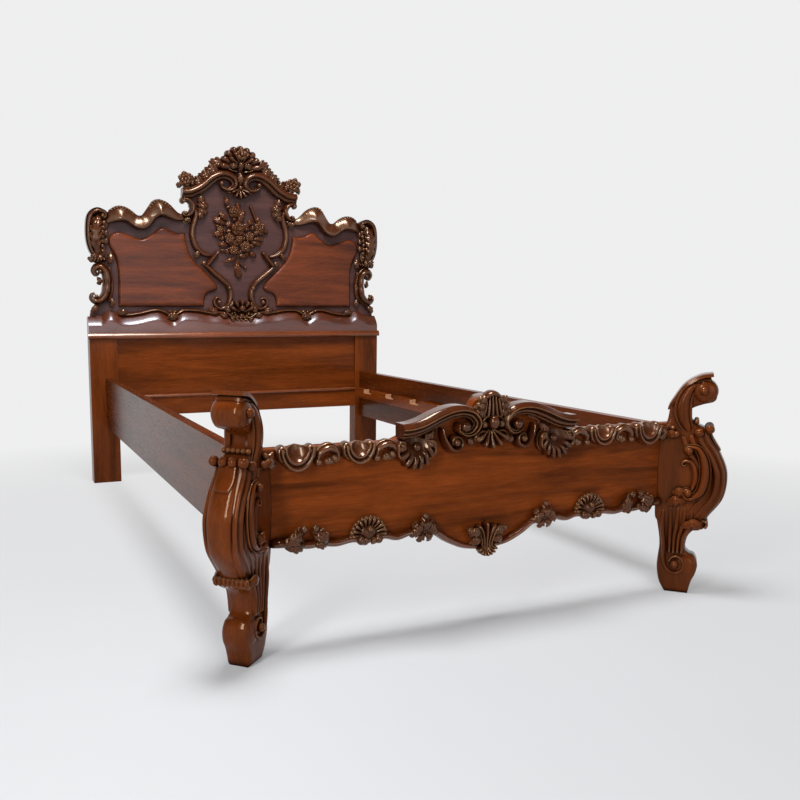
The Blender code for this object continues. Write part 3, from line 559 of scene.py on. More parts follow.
def wood(name, colour, grain, rough, carved=False, figure=0.75, polish=0.12, sheen=AMBER, rub_and_highlight=1.0,
         depth=1.0):
    """Polished mahogany with its figure and pores along one axis. Carved wood also gets dark glazing in its
    hollows, partly painted shade, and worn golden high points with some painted highlight on upward faces.
    """
    finish = bpy.context.scene.bed_finish
    made = Finish(bpy.data.materials.new(name))
    place = made.node("TexCoord").outputs["Object"]
    stretch = [9.0, 9.0, 9.0]
    stretch[grain] = 0.9
    along = made.node("Mapping", {"Vector": place, "Scale": stretch}).outputs["Vector"]
    bands = made.node("TexNoise", {"Vector": along, "Scale": 2.4, "Detail": 4.0, "Roughness": 0.6,
                                   "Distortion": 0.5})
    fine = made.node("TexNoise", {"Vector": along, "Scale": 26.0, "Detail": 4.0, "Roughness": 0.7})
    broad = made.node("TexNoise", {"Vector": place, "Scale": 1.7, "Detail": 2.0})
    tint = made.ramp(bands.outputs["Fac"], [(0.30, shade(colour, 1 - 0.6 * figure)), (0.48, colour),
                                            (0.70, shade(colour, 1 + 0.7 * figure))])
    pores = made.between(fine.outputs["Fac"], 0.35, 0.62, 0.78, 1.1)
    tint = made.blend(0.8, tint, pores, "MULTIPLY")
    cloud = made.between(broad.outputs["Fac"], 0.3, 0.7, 0.82, 1.16)
    tint = made.blend(1.0, tint, cloud, "MULTIPLY")
    shine = made.between(fine.outputs["Fac"], 0.3, 0.7, rough * 0.8, rough * 1.25)
    height = fine.outputs["Fac"]
    polished, coated = polish, finish.coat * polish
    if carved:
        relief = made.node("Attribute", attribute_name="relief").outputs["Fac"]
        specks = made.node("TexNoise", {"Vector": place, "Scale": 90.0, "Detail": 3.0})
        rub_and_highlight_level = made.combine("ADD", relief, made.between(specks.outputs["Fac"], 0.3, 0.7, -0.03, 0.03))
        # Dark glazing in the hollows, partly painted shade: ambient occlusion and the concave relief darken
        # the colour where shade falls, and also take away shine, lacquer and reflection there.
        occluded_shade = made.node("AmbientOcclusion", {"Distance": 0.020}, samples=6).outputs["AO"]
        hollow = made.between(relief, 0.0, -0.20, 0.0, 0.95 * depth)
        occluded_shade = made.between(occluded_shade, 0.90, 0.42, 0.0, depth)
        glaze_and_shade = made.combine("MAXIMUM", hollow, occluded_shade)
        tint = made.blend(glaze_and_shade, tint, tuple(finish.glaze_and_shade))
        # Worn golden high points, partly painted highlight: proud relief marks the wear, and faces turned
        # upward are pushed brighter and more metallic as painted highlight from light above.
        facing = made.node("SeparateXYZ",
                           {"Vector": made.node("NewGeometry").outputs["Normal"]}).outputs["Z"]
        rub_and_highlight_level = made.combine("ADD", rub_and_highlight_level, made.between(facing, 0.1, 0.8, 0.0, 0.10))
        rubbed_and_highlighted = made.between(rub_and_highlight_level, finish.rub_and_highlight_start, finish.rub_and_highlight_start + 0.42, 0.0,
                              finish.rub_and_highlight_amount * rub_and_highlight)
        tint = made.blend(rubbed_and_highlighted, tint, tuple(finish.rub_and_highlight_colour))
        bright = made.combine("MULTIPLY", rubbed_and_highlighted, 0.85)
        made.feed(made.shader, {"Metallic": bright})
        shine = made.combine("ADD", shine, made.between(glaze_and_shade, 0, 1, 0.0, 0.25))
        polished = made.between(glaze_and_shade, 0, 0.9, polish, polish * 0.1)
        coated = made.between(glaze_and_shade, 0, 0.9, coated, 0.0)
    else:
        soft = made.node("Bevel", {"Radius": 0.004}, samples=4).outputs["Normal"]
        flat = made.node("NewGeometry").outputs["Normal"]
        turned = made.node("VectorMath", {0: soft, 1: flat}, operation="DOT_PRODUCT").outputs["Value"]
        worn = made.between(turned, 0.995, 0.9, 0.0, 0.3)
        tint = made.blend(worn, tint, shade(colour, 2.4))
    bump = made.node("Bump", {"Height": height, "Strength": 0.06, "Distance": 0.0006}).outputs["Normal"]
    made.feed(made.shader, {"Base Color": tint, "Roughness": shine, "Normal": bump, "Coat Weight": coated,
                            "Coat Roughness": 0.08, "Specular IOR Level": polished,
                            "Specular Tint": (*sheen, 1)})
    return made.material


def cleat_wood():
    """The cleats: polished like the rails, with the raw wood showing in the slat notches."""
    finish = bpy.context.scene.bed_finish
    material = wood("cleat_mahogany", tuple(finish.mahogany), 1, finish.gloss)
    made = Finish(material)
    facing = made.node("SeparateXYZ", {"Vector": made.node("NewGeometry").outputs["Normal"]})
    place = made.node("SeparateXYZ", {"Vector": made.node("TexCoord").outputs["Object"]})
    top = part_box("slat_cleat_right")[1].z
    upward = made.between(facing.outputs["Z"], 0.7, 0.9)
    below = made.between(place.outputs["Z"], top - 0.004, top - 0.006)
    seat = made.combine("MULTIPLY", upward, below)
    cheek = made.node("Math", {0: facing.outputs["Y"]}, operation="ABSOLUTE").outputs[0]
    inside = made.between(place.outputs["Z"], top - 0.020, top - 0.017)
    cheek = made.combine("MULTIPLY", made.between(cheek, 0.7, 0.9), inside)
    raw = made.combine("MAXIMUM", seat, cheek)
    before = made.shader.inputs["Base Color"].links[0].from_socket
    made.feed(made.shader, {"Base Color": made.blend(raw, before, tuple(finish.raw_wood))})
    return material


def steel():
    """The rail fittings: brushed steel."""
    finish = bpy.context.scene.bed_finish
    made = Finish(bpy.data.materials.new("fitting_steel"))
    place = made.node("TexCoord").outputs["Object"]
    along = made.node("Mapping", {"Vector": place, "Scale": (40.0, 400.0, 40.0)}).outputs["Vector"]
    brushed = made.node("TexNoise", {"Vector": along, "Scale": 3.0, "Detail": 3.0})
    tint = made.ramp(brushed.outputs["Fac"], [(0.3, shade(finish.steel, 0.7)), (0.7, tuple(finish.steel))])
    made.feed(made.shader, {"Base Color": tint, "Metallic": 1.0,
                            "Roughness": made.between(brushed.outputs["Fac"], 0.3, 0.7, 0.32, 0.5)})
    return made.material


def finishes():
    """The finishes of the bed, made once."""
    finish = bpy.context.scene.bed_finish
    if "carved_mahogany" not in bpy.data.materials:
        red = tuple(finish.carved)
        wood("rail_mahogany", shade(finish.mahogany, 0.62), 1, finish.gloss, polish=0.10)
        wood("panel_mahogany", shade(finish.mahogany, 0.86), 0, finish.gloss)
        # Painted light: the footboard panel gets a lighter copy of the mahogany than the head's panels and
        # posts, standing in for the stronger light on the footboard.
        wood("foot_mahogany", shade(finish.mahogany, 1.25), 0, finish.gloss, figure=0.95, polish=0.06)
        wood("post_mahogany", shade(finish.mahogany, 0.86), 2, finish.gloss)
        wood("carved_mahogany", shade(red, 0.60), 2, finish.gloss * 0.85, True, 0.5, 0.62, COPPER, 0.6)
        wood("foot_carving", shade(red, 0.66), 2, finish.gloss * 0.7, True, 0.5, 0.52, COPPER, 0.55, 0.85)
        wood("cresting_mahogany", shade(red, 0.56), 2, finish.gloss * 1.25, True, 0.5, 0.9, COPPER, 1.0)
        wood("frieze_mahogany", shade(red, 0.74), 2, finish.gloss, True, 0.5, 0.85, COPPER, 0.55, 0.5)
        wood("bead_mahogany", shade(red, 1.1), 0, finish.gloss, True, 0.5, 0.9, AMBER, 0.6, 0.3)
        wood("flower_mahogany", shade(red, 0.74), 2, finish.gloss, True, 0.5, 0.40, COPPER, 0.22)
        wood("leg_mahogany", shade(finish.mahogany, 0.74), 2, finish.gloss * 0.55, True, 0.5, 0.18, COPPER,
             0.4)
        wood("moulding_mahogany", shade(red, 1.6), 0, finish.gloss, True, 0.5, 0.62, AMBER)
        wood("cove_mahogany", shade(red, 0.95), 0, finish.gloss * 1.3, False, 0.5, 0.8, CLEAR)
        # The fields and the ground use the carved finish without worn high points, so dark glazing with
        # painted shade darkens them round the carvings.
        wood("field_mahogany", shade(red, 1.2), 0, finish.gloss * 1.1, True, 1.0, 0.22, CLEAR, 0.0)
        wood("ground_mahogany", shade(finish.ground, 0.9), 0, finish.gloss * 1.4, True, 0.5, 0.18, CLEAR,
             0.0, 0.5)
        cleat_wood()
        steel()
    return bpy.data.materials


def head_carver(side=1):
    """A carver on the face of the headboard."""
    return Carver((0, BOARD_FACE, BOARD_FOOT), (side, 0, 0), (0, -1, 0))


def foot_carver(side=1, height=PANEL_TOP):
    """A carver on the face of the footboard."""
    return Carver((0, PANEL_FACE, height), (side, 0, 0), (0, -1, 0))


class FinishSettings(bpy.types.PropertyGroup):
    mahogany: FloatVectorProperty(name="Mahogany", description="Colour of the polished boards",
                                  subtype="COLOR", default=(0.155, 0.032, 0.0048), min=0, max=1)
    ground: FloatVectorProperty(name="Ground", description="Colour of the board behind the carvings",
                                subtype="COLOR", default=(0.086, 0.036, 0.030), min=0, max=1)
    carved: FloatVectorProperty(name="Carved wood", description="Colour of the carved wood and the fields",
                                subtype="COLOR", default=(0.105, 0.022, 0.0050), min=0, max=1)
    # Dark glazing colour for the hollows, which is partly painted shade where ambient light is occluded.
    glaze_and_shade: FloatVectorProperty(name="Glaze", description="Dark glaze left in the hollows", subtype="COLOR",
                               default=(0.016, 0.0036, 0.0013), min=0, max=1)
    # Colour of the worn high points of the carving, which also serves as painted highlight on upward faces.
    rub_and_highlight_colour: FloatVectorProperty(name="Rubbed edges", description="Colour of the rubbed high points",
                                subtype="COLOR", default=(0.55, 0.29, 0.13), min=0, max=1)
    raw_wood: FloatVectorProperty(name="Raw wood", description="Bare wood in the slat notches",
                                  subtype="COLOR", default=(0.45, 0.24, 0.13), min=0, max=1)
    steel: FloatVectorProperty(name="Steel", description="Colour of the rail fittings", subtype="COLOR",
                               default=(0.42, 0.42, 0.43), min=0, max=1)
    gloss: FloatProperty(name="Roughness", description="Roughness of the polish", subtype="FACTOR",
                         default=0.24, min=0, max=1)
    coat: FloatProperty(name="Lacquer", description="Weight of the clear lacquer", subtype="FACTOR",
                        default=0.40, min=0, max=1)
    # Where the worn and painted-highlight colour starts and how strong it gets; upward faces count extra as
    # painted highlight.
    rub_and_highlight_start: FloatProperty(name="Rub start",
                             description="How proud an edge is before it is rubbed bright", default=0.26,
                             min=0, max=1)
    rub_and_highlight_amount: FloatProperty(name="Rub amount", description="How bright the rubbed edges are",
                              subtype="FACTOR", default=0.75, min=0, max=1)


class HeadSettings(bpy.types.PropertyGroup):
    roll_rise: FloatProperty(name="Cresting rise", description="How far the wave cresting stands out",
                             unit="LENGTH", default=0.050, min=0.01, max=0.06)
    arm_rise: FloatProperty(name="Arm rise", description="How far the pediment arms stand out",
                            unit="LENGTH", default=0.044, min=0.01, max=0.06)
    strap_rise: FloatProperty(name="Strap rise", description="How far the lyre straps stand out",
                              unit="LENGTH", default=0.024, min=0.005, max=0.05)
    field_rise: FloatProperty(name="Field rise", description="How far the fielded panels stand out",
                              unit="LENGTH", default=0.014, min=0.003, max=0.03)
    scoop: FloatProperty(name="Cove scoop", description="Height of the hollow under the skirt line",
                         unit="LENGTH", default=0.048, min=0.01, max=0.08)
    petals: IntProperty(name="Petals", description="Petals in each layer of a flower", default=5, min=3,
                        max=9)


class FootSettings(bpy.types.PropertyGroup):
    arm_rise: FloatProperty(name="Arm rise", description="How far the arch arms stand out", unit="LENGTH",
                            default=0.050, min=0.01, max=0.07)
    frieze_rise: FloatProperty(name="Frieze rise", description="How far the frieze shells stand out",
                               unit="LENGTH", default=0.018, min=0.005, max=0.04)
    hem_rise: FloatProperty(name="Lower edge rise", description="How far the lower moulding stands out",
                            unit="LENGTH", default=0.018, min=0.005, max=0.04)
    frill: IntProperty(name="Frill lobes", description="Lobes on the rim of each ruffled shell", default=16,
                       min=6, max=40)


class LegSettings(bpy.types.PropertyGroup):
    reeds: IntProperty(name="Side reeds", description="Reeds along each side of the belly", default=3,
                       min=1, max=6)
    beads: IntProperty(name="Neck beads", description="Small beads across the front of the neck", default=6,
                       min=3, max=12)
    shift: FloatProperty(name="Shift", description="How far a leg stands off the corner line",
                         unit="LENGTH", default=0.010, min=0, max=0.02)


class StageSettings(bpy.types.PropertyGroup):
    floor: FloatVectorProperty(name="Floor", description="Colour of the floor and backdrop",
                               subtype="COLOR", default=(0.57, 0.57, 0.575), min=0, max=1)
    backdrop: FloatVectorProperty(name="Backdrop", description="Colour of the far backdrop",
                                  subtype="COLOR", default=(0.86, 0.86, 0.865), min=0, max=1)
    key_power: FloatProperty(name="Key light", description="Power of the main soft light", unit="POWER",
                             default=44.0, min=0)
    top_power: FloatProperty(name="Top light", description="Power of the light overhead", unit="POWER",
                             default=152.0, min=0)
    card_power: FloatProperty(name="Front card", description="Power of the pale card behind the camera",
                              unit="POWER", default=26.0, min=0)
    sky: FloatProperty(name="Surround", description="Strength of the even light all round", default=0.10,
                       min=0, max=2)
    lens: FloatProperty(name="Lens", description="Focal length of the camera", unit="CAMERA", default=38.61,
                        min=10, max=200)


class BED_OT_boards(bpy.types.Operator):
    """Give the plain boards, rails, posts and fittings their wood, steel and eased edges"""
    bl_idname = "bed.boards"
    bl_label = "Plain boards"

    def execute(self, context):
        ready = finishes()
        woods = {"head_post": "post_mahogany", "head_lower_rail": "panel_mahogany",
                 "head_lower_panel": "panel_mahogany", "side_rail": "rail_mahogany",
                 "slat_cleat": "cleat_mahogany", "foot_corner_post": "post_mahogany",
                 "hook_plate": "fitting_steel", "slot_plate": "fitting_steel"}
        for name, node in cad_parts.items():
            for start, finish in woods.items():
                if name.startswith(start):
                    node.data.materials.clear()
                    node.data.materials.append(ready[finish])
                    weld = node.modifiers.new("weld", "WELD")
                    weld.merge_threshold = 0.00001
                    ease = node.modifiers.new("eased_edges", "BEVEL")
                    ease.width = STEEL_ARRIS if finish == "fitting_steel" else SOFT_ARRIS
                    ease.segments = 2
                    ease.angle_limit = math.radians(40)
        bead = Carver((0, LOWER_RAIL_LOW.y, LOWER_RAIL_HIGH.z), (1, 0, 0), (0, -1, 0))
        reach = LOWER_RAIL_HIGH.x
        bead.sweep([(-reach, -0.008, 0.014), (0, -0.008, 0.014), (reach, -0.008, 0.014)], ROUND, 0.008,
                   ends=(0, 0))
        bead.finish("lower_rail_bead", ready["moulding_mahogany"], "plain_wood")
        return {"FINISHED"}


SKIRT = [(0.640, 0.004), (0.615, 0.020), (0.595, 0.024), (0.560, 0.005), (0.520, 0.003), (0.470, 0.010),
         (0.420, 0.022), (0.386, 0.024), (0.360, 0.014), (0.326, -0.004), (0.292, 0.017), (0.268, 0.024),
         (0.209, 0.022), (0.155, 0.013), (0.104, 0.014), (0.060, 0.006)]


class BED_OT_cove(bpy.types.Operator):
    """Build the half-round moulding and the hollow cove that climbs to the skirt line"""
    bl_idname = "bed.cove"
    bl_label = "Cove and half-round"

    def execute(self, context):
        ready = finishes()
        across = np.linspace(COVE_LOW.x, COVE_HIGH.x, 141)
        drawn = smooth_track(SKIRT)[::-1]
        rise = BOARD_FOOT + np.interp(np.abs(across), drawn[:, 0], drawn[:, 1]) + 0.004
        rise = np.where(np.abs(across) > SKIRT[0][0], BOARD_FOOT + 0.004, rise)
        lip = rise - context.scene.bed_head.scoop - 0.012 * np.exp(-(across / 0.09) ** 2)
        climb = np.linspace(0, 1, 15)
        deep = BOARD_FACE - COVE_LOW.y
        rows = []
        for x, top, low in zip(across, rise, lip):
            belly = [(COVE_LOW.y + deep * part ** 1.5, low + (top - low) * part) for part in climb]
            loop = [(COVE_LOW.y, COVE_LOW.z), (COVE_LOW.y, (COVE_LOW.z + low) / 2)] + belly
            loop += [(BOARD_FACE + 0.004, top), (BOARD_FACE + 0.004, COVE_HIGH.z),
                     (COVE_HIGH.y, COVE_HIGH.z), (COVE_HIGH.y, COVE_LOW.z)]
            rows.append([(x, y, z) for y, z in loop])
        cove = Carver((0, 0, 0), (1, 0, 0), (0, 1, 0))
        grid = np.array(rows)[..., [0, 2, 1]]
        cove.tube(grid)
        rail = cove.finish("cove_rail", ready["cove_mahogany"], "plain_wood", ["head_cove"],
                           sharp=BOARD_SHARP)
        plain_back(rail, ready["panel_mahogany"])
        half = Carver((0, ROUND_HIGH.y, (ROUND_LOW.z + ROUND_HIGH.z) / 2), (1, 0, 0), (0, -1, 0))
        height = ROUND_HIGH.z - ROUND_LOW.z
        line = np.linspace(ROUND_LOW.x, ROUND_HIGH.x, 60)
        track = np.column_stack([line, 0 * line, 0 * line + height])
        nosing = section([(-0.5, 0), (-0.5, 0.4), (-0.42, 0.8), (-0.25, 0.97), (-0.08, 1.0), (0.06, 0.95),
                          (0.22, 0.76), (0.38, 0.54), (0.47, 0.38), (0.5, 0.2), (0.5, 0)], 31)
        half.sweep(track, nosing, ROUND_HIGH.y - ROUND_LOW.y, ends=(0, 0))
        half.finish("half_round", ready["moulding_mahogany"], "plain_wood", ["head_half_round"])
        return {"FINISHED"}


HEAD_BOARD = [(0.688, 0.0, CORNER), (0.686, 0.018), (0.672, 0.048), (0.620, 0.120), (0.632, 0.210),
              (0.640, 0.280), (0.664, 0.360), (0.648, 0.432), (0.600, 0.440), (0.540, 0.452),
              (0.475, 0.416), (0.420, 0.424), (0.372, 0.484), (0.320, 0.462), (0.262, 0.442),
              (0.222, 0.470), (0.240, 0.550), (0.258, 0.600), (0.190, 0.606), (0.150, 0.650),
              (0.112, 0.686), (0.060, 0.736), (0.000, 0.752)]
FIELD_PANEL = [(0.595, 0.356), (0.575, 0.371), (0.548, 0.375), (0.500, 0.358), (0.455, 0.348),
               (0.411, 0.370), (0.364, 0.402), (0.318, 0.386), (0.284, 0.379), (0.260, 0.383, CORNER),
               (0.254, 0.340), (0.238, 0.286), (0.206, 0.243), (0.163, 0.202), (0.122, 0.158),
               (0.112, 0.133), (0.132, 0.118), (0.160, 0.108), (0.174, 0.082), (0.176, 0.048, CORNER),
               (0.345, 0.046), (0.565, 0.047, CORNER), (0.563, 0.200), (0.576, 0.268), (0.602, 0.322)]
FIELD_EDGE = [(0.0, -0.1), (0.0008, 0.3), (0.003, 0.56), (0.007, 0.82), (0.010, 0.96), (0.013, 1.0),
              (0.018, 1.02)]


class BED_OT_upper_board(bpy.types.Operator):
    """Cut the serpentine upper board and raise its two fielded panels"""
    bl_idname = "bed.upper_board"
    bl_label = "Upper board"

    def execute(self, context):
        ready = finishes()
        board = head_carver()
        thick = BOARD_HIGH.y - BOARD_LOW.y
        board.slab(closed_outline(whole(HEAD_BOARD)), flat(-thick), flat(0.0), ARRIS, 0.03)
        made = board.finish("upper_board", ready["ground_mahogany"], "ground_wood", ["head_upper_board"],
                            sharp=BOARD_SHARP)
        plain_back(made, ready["panel_mahogany"])
        rise = context.scene.bed_head.field_rise
        for label, side in SIDES.items():
            field = head_carver(side)
            outline = closed_outline(FIELD_PANEL)
            edge = [(step, rise * level) for step, level in FIELD_EDGE]
            field.slab(outline, flat(-SINK / 2), flat(0.0), edge, 0.02)
            field.finish("field_" + label, ready["field_mahogany"], "plain_wood", ["head_field_" + label],
                         sharp=BOARD_SHARP)
        return {"FINISHED"}


class BED_OT_skirt(bpy.types.Operator):
    """Run the thin serpentine skirt bead with its leaf drops"""
    bl_idname = "bed.skirt"
    bl_label = "Skirt moulding"

    def execute(self, context):
        ready = finishes()
        for label, side in SIDES.items():
            skirt = head_carver(side)
            rows = [(across, up + 0.008, 0.014) for across, up in SKIRT if across < 0.58]
            skirt.sweep(smooth_track(rows), ROUND, 0.018)
            for place, way in ((0.345, 1), (0.306, -1)):
                track, _ = scroll([(place + way * 0.05, 0.034, 0.006), (place + way * 0.02, 0.026, 0.012),
                                   (place, 0.014, 0.014)], end=(0.8, 0.010, -way))
                skirt.sweep(track, ROUND, 0.020)
            skirt.leaf([(0.326, 0.026, 0.010), (0.326, 0.006, 0.024), (0.326, -0.020, 0.012)], 0.054, 5)
            for place in (0.546, 0.128):
                skirt.leaf([(place - 0.022, 0.012, 0.010), (place, 0.022, 0.022),
                            (place + 0.024, 0.016, 0.010)], 0.024, 3)
            skirt.finish("skirt_" + label, ready["carved_mahogany"], "carved_wood", ["head_skirt_" + label])
        return {"FINISHED"}


CREST_ROLL = [(0.604, 0.426, 0.036), (0.580, 0.442, 0.056), (0.545, 0.455, 0.070), (0.512, 0.446, 0.058),
              (0.486, 0.428, 0.052), (0.459, 0.417, 0.066), (0.436, 0.428, 0.056), (0.416, 0.454, 0.054),
              (0.392, 0.478, 0.068), (0.372, 0.486, 0.078), (0.346, 0.480, 0.066), (0.320, 0.465, 0.050),
              (0.294, 0.452, 0.036), (0.268, 0.450, 0.028), (0.250, 0.452, 0.020)]
CREST_BACKS = [[(0.590, 0.464, 0.014), (0.566, 0.476, 0.020), (0.540, 0.479, 0.020), (0.512, 0.468, 0.018),
                (0.490, 0.450, 0.012)],
               [(0.420, 0.482, 0.014), (0.400, 0.507, 0.020), (0.376, 0.515, 0.022), (0.350, 0.506, 0.020),
                (0.322, 0.484, 0.012)]]


class BED_OT_cresting(bpy.types.Operator):
    """Carve the wave cresting along the top of each field"""
    bl_idname = "bed.cresting"
    bl_label = "Wave cresting"

    def execute(self, context):
        ready = finishes()
        rise = context.scene.bed_head.roll_rise
        wave = section([(-0.5, 0), (-0.5, 0.20), (-0.48, 0.32), (-0.4, 0.46), (-0.25, 0.64), (-0.05, 0.82),
                        (0.15, 0.94), (0.3, 1.0), (0.4, 0.97), (0.47, 0.8), (0.5, 0.45), (0.5, 0)], 37)
        for label, side in SIDES.items():
            crest = head_carver(side)
            line = smooth_track(CREST_ROLL, 0.0025)
            for _ in range(30):
                line[1:-1] = (line[:-2] + 2 * line[1:-1] + line[2:]) / 4
            crest.curled(scroll(line[::5], end=(0.8, 0.014, 1), step=0.0025), (0.020, 0.009), wave, rise,
                         taper=1.3)
            for rows in CREST_BACKS:
                crest.sweep(smooth_track(rows, 0.002), ROUND, rise * 0.62, ribs=9, rib_depth=0.45)
            crest.finish("cresting_" + label, ready["cresting_mahogany"], "carved_wood",
                         ["head_cresting_" + label])
        return {"FINISHED"}


CORNER_LEAF = [(0.612, 0.456), (0.640, 0.468), (0.668, 0.458), (0.686, 0.428), (0.694, 0.360),
               (0.688, 0.304), (0.674, 0.272), (0.652, 0.264), (0.622, 0.268), (0.616, 0.300),
               (0.626, 0.350), (0.622, 0.390), (0.608, 0.420)]


class BED_OT_corner_leaves(bpy.types.Operator):
    """Carve the hooded leaf with its berries at each upper corner"""
    bl_idname = "bed.corner_leaves"
    bl_label = "Corner leaves"

    def execute(self, context):
        ready = finishes()
        for label, side in SIDES.items():
            corner = head_carver(side)
            outline = closed_outline(CORNER_LEAF)
            corner.slab(outline, flat(-SINK), flat(0.012), ARRIS, 0.02)
            hood = [(0.644, 0.262, 0.014), (0.672, 0.284, 0.022), (0.685, 0.330, 0.026),
                    (0.686, 0.390, 0.028), (0.676, 0.440, 0.030), (0.648, 0.462, 0.028),
                    (0.620, 0.456, 0.024)]
            corner.curled(scroll(hood, end=(0.75, 0.016, 1)), (0.026, 0.011), BAND, 0.042)
            corner.leaf([(0.650, 0.262, 0.014), (0.658, 0.320, 0.034), (0.656, 0.390, 0.036),
                         (0.636, 0.444, 0.018)], 0.056, 6, 0.7, 0.3)
            corner.berries([(0.628, 0.290, 0.016, 0.007), (0.630, 0.350, 0.022, 0.010),
                            (0.620, 0.410, 0.022, 0.011)], 0.021)
            for base, tip, width in (((0.656, 0.285), (0.676, 0.250), 0.030),
                                     ((0.640, 0.280), (0.644, 0.240), 0.026)):
                corner.sprig(base, tip, (0.018, 0.030, 0.016), width)
            for up in (0.318, 0.352, 0.386):
                corner.leaf([(0.626, up, 0.010), (0.612, up + 0.014, 0.018), (0.600, up + 0.016, 0.010)],
                            0.026, 2)
            corner.finish("corner_leaf_" + label, ready["carved_mahogany"], "carved_wood",
                          ["head_corner_leaf_" + label])
        return {"FINISHED"}


class BED_OT_side_scrolls(bpy.types.Operator):
    """Carve the C-scrolls down each side of the headboard"""
    bl_idname = "bed.side_scrolls"
    bl_label = "Side scrolls"

    def execute(self, context):
        ready = finishes()
        for label, side in SIDES.items():
            carved = head_carver(side)
            upper = [(0.612, 0.126, 0.030), (0.611, 0.165, 0.043), (0.617, 0.199, 0.041),
                     (0.636, 0.221, 0.038), (0.656, 0.220, 0.033), (0.668, 0.204, 0.027),
                     (0.661, 0.187, 0.020), (0.650, 0.190, 0.014)]
            carved.sweep(smooth_track(upper), SCROLL, 0.042)
            carved.ball((0.643, 0.200, 0.026), 0.011)
            lower = [(0.613, 0.176, 0.028), (0.613, 0.134, 0.044), (0.620, 0.102, 0.042),
                     (0.640, 0.077, 0.037), (0.663, 0.071, 0.031), (0.680, 0.083, 0.024),
                     (0.680, 0.099, 0.016), (0.670, 0.104, 0.011)]
            carved.sweep(smooth_track(lower), SCROLL * (-1, 1), 0.042)
            carved.ball((0.662, 0.092, 0.022), 0.009)
            collar = [(0.684, 0.256, 0.018), (0.652, 0.250, 0.027), (0.618, 0.255, 0.018)]
            carved.sweep(smooth_track(collar, 0.002), ROUND, 0.036, ribs=5, rib_depth=0.5)
            carved.sweep(smooth_track([(0.600, 0.214, 0.014), (0.594, 0.160, 0.020), (0.596, 0.110, 0.020),
                                       (0.606, 0.072, 0.014)]), ROUND, 0.018)
            for spine, width in (([(0.640, 0.246), (0.662, 0.258), (0.686, 0.244)], 0.030),
                                 ([(0.606, 0.232), (0.594, 0.256), (0.598, 0.286)], 0.028),
                                 ([(0.654, 0.176), (0.646, 0.160), (0.650, 0.142)], 0.026),
                                 ([(0.650, 0.056), (0.668, 0.040), (0.684, 0.018)], 0.028),
                                 ([(0.604, 0.090), (0.592, 0.066), (0.598, 0.042)], 0.022)):
                levels = (0.010, 0.022, 0.010)
                carved.leaf([(*spot, level) for spot, level in zip(spine, levels)], width, 3)
            carved.finish("side_scroll_" + label, ready["carved_mahogany"], "carved_wood",
                          ["head_side_scroll_" + label])
        return {"FINISHED"}


HEAD_ARM = [(0.274, 0.556, 0.046), (0.256, 0.556, 0.046), (0.225, 0.562, 0.046), (0.180, 0.586, 0.046),
            (0.132, 0.626, 0.045), (0.094, 0.644, 0.043), (0.062, 0.645, 0.040), (0.035, 0.630, 0.036),
            (0.027, 0.606, 0.031), (0.045, 0.585, 0.025), (0.072, 0.585, 0.019), (0.090, 0.597, 0.013)]
HEAD_ARM_SECTION = section([(-0.5, 0), (-0.5, 0.62), (-0.46, 0.74), (-0.36, 0.86), (-0.22, 0.97),
                            (-0.08, 1.0), (0.04, 0.94), (0.1, 0.82), (0.13, 0.7), (0.18, 0.66),
                            (0.28, 0.64), (0.38, 0.58), (0.46, 0.46), (0.5, 0.25), (0.5, 0)], 49)


class BED_OT_pediment_arms(bpy.types.Operator):
    """Carve the two moulded arms of the broken pediment, with the scrolls that carry their ends"""
    bl_idname = "bed.pediment_arms"
    bl_label = "Pediment arms"

    def execute(self, context):
        ready = finishes()
        rise = context.scene.bed_head.arm_rise
        for label, side in SIDES.items():
            arm = head_carver(side)
            arm.sweep(smooth_track(HEAD_ARM), HEAD_ARM_SECTION, rise, taper=0.35, ends=(0, 1))
            arm.ball((0.090, 0.607, 0.026), 0.011)
            arm.curled(scroll([(0.262, 0.532, 0.022), (0.238, 0.524, 0.026), (0.222, 0.498, 0.028),
                               (0.234, 0.468, 0.026), (0.252, 0.458, 0.018)], start=(0.7, 0.012, -1),
                              end=(0.8, 0.012, 1)), (0.024, 0.008), SCROLL, 0.032)
            for base, tip, width in (((0.204, 0.524), (0.168, 0.536), 0.032),
                                     ((0.206, 0.508), (0.152, 0.504), 0.036),
                                     ((0.206, 0.490), (0.156, 0.472), 0.034),
                                     ((0.206, 0.478), (0.176, 0.448), 0.028)):
                arm.sprig(base, tip, (0.012, 0.026, 0.016), width)
            arm.ball((0.178, 0.496, 0.026), 0.011)
            arm.finish("pediment_arm_" + label, ready["carved_mahogany"], "carved_wood",
                       ["head_pediment_arm_" + label])
        return {"FINISHED"}


CREST_LEAVES = [[(0.058, 0.672), (0.100, 0.696), (0.140, 0.694)],
                [(0.086, 0.650), (0.126, 0.664), (0.163, 0.654)],
                [(0.120, 0.622), (0.156, 0.636), (0.191, 0.626)],
                [(0.162, 0.596), (0.194, 0.607), (0.222, 0.604)]]


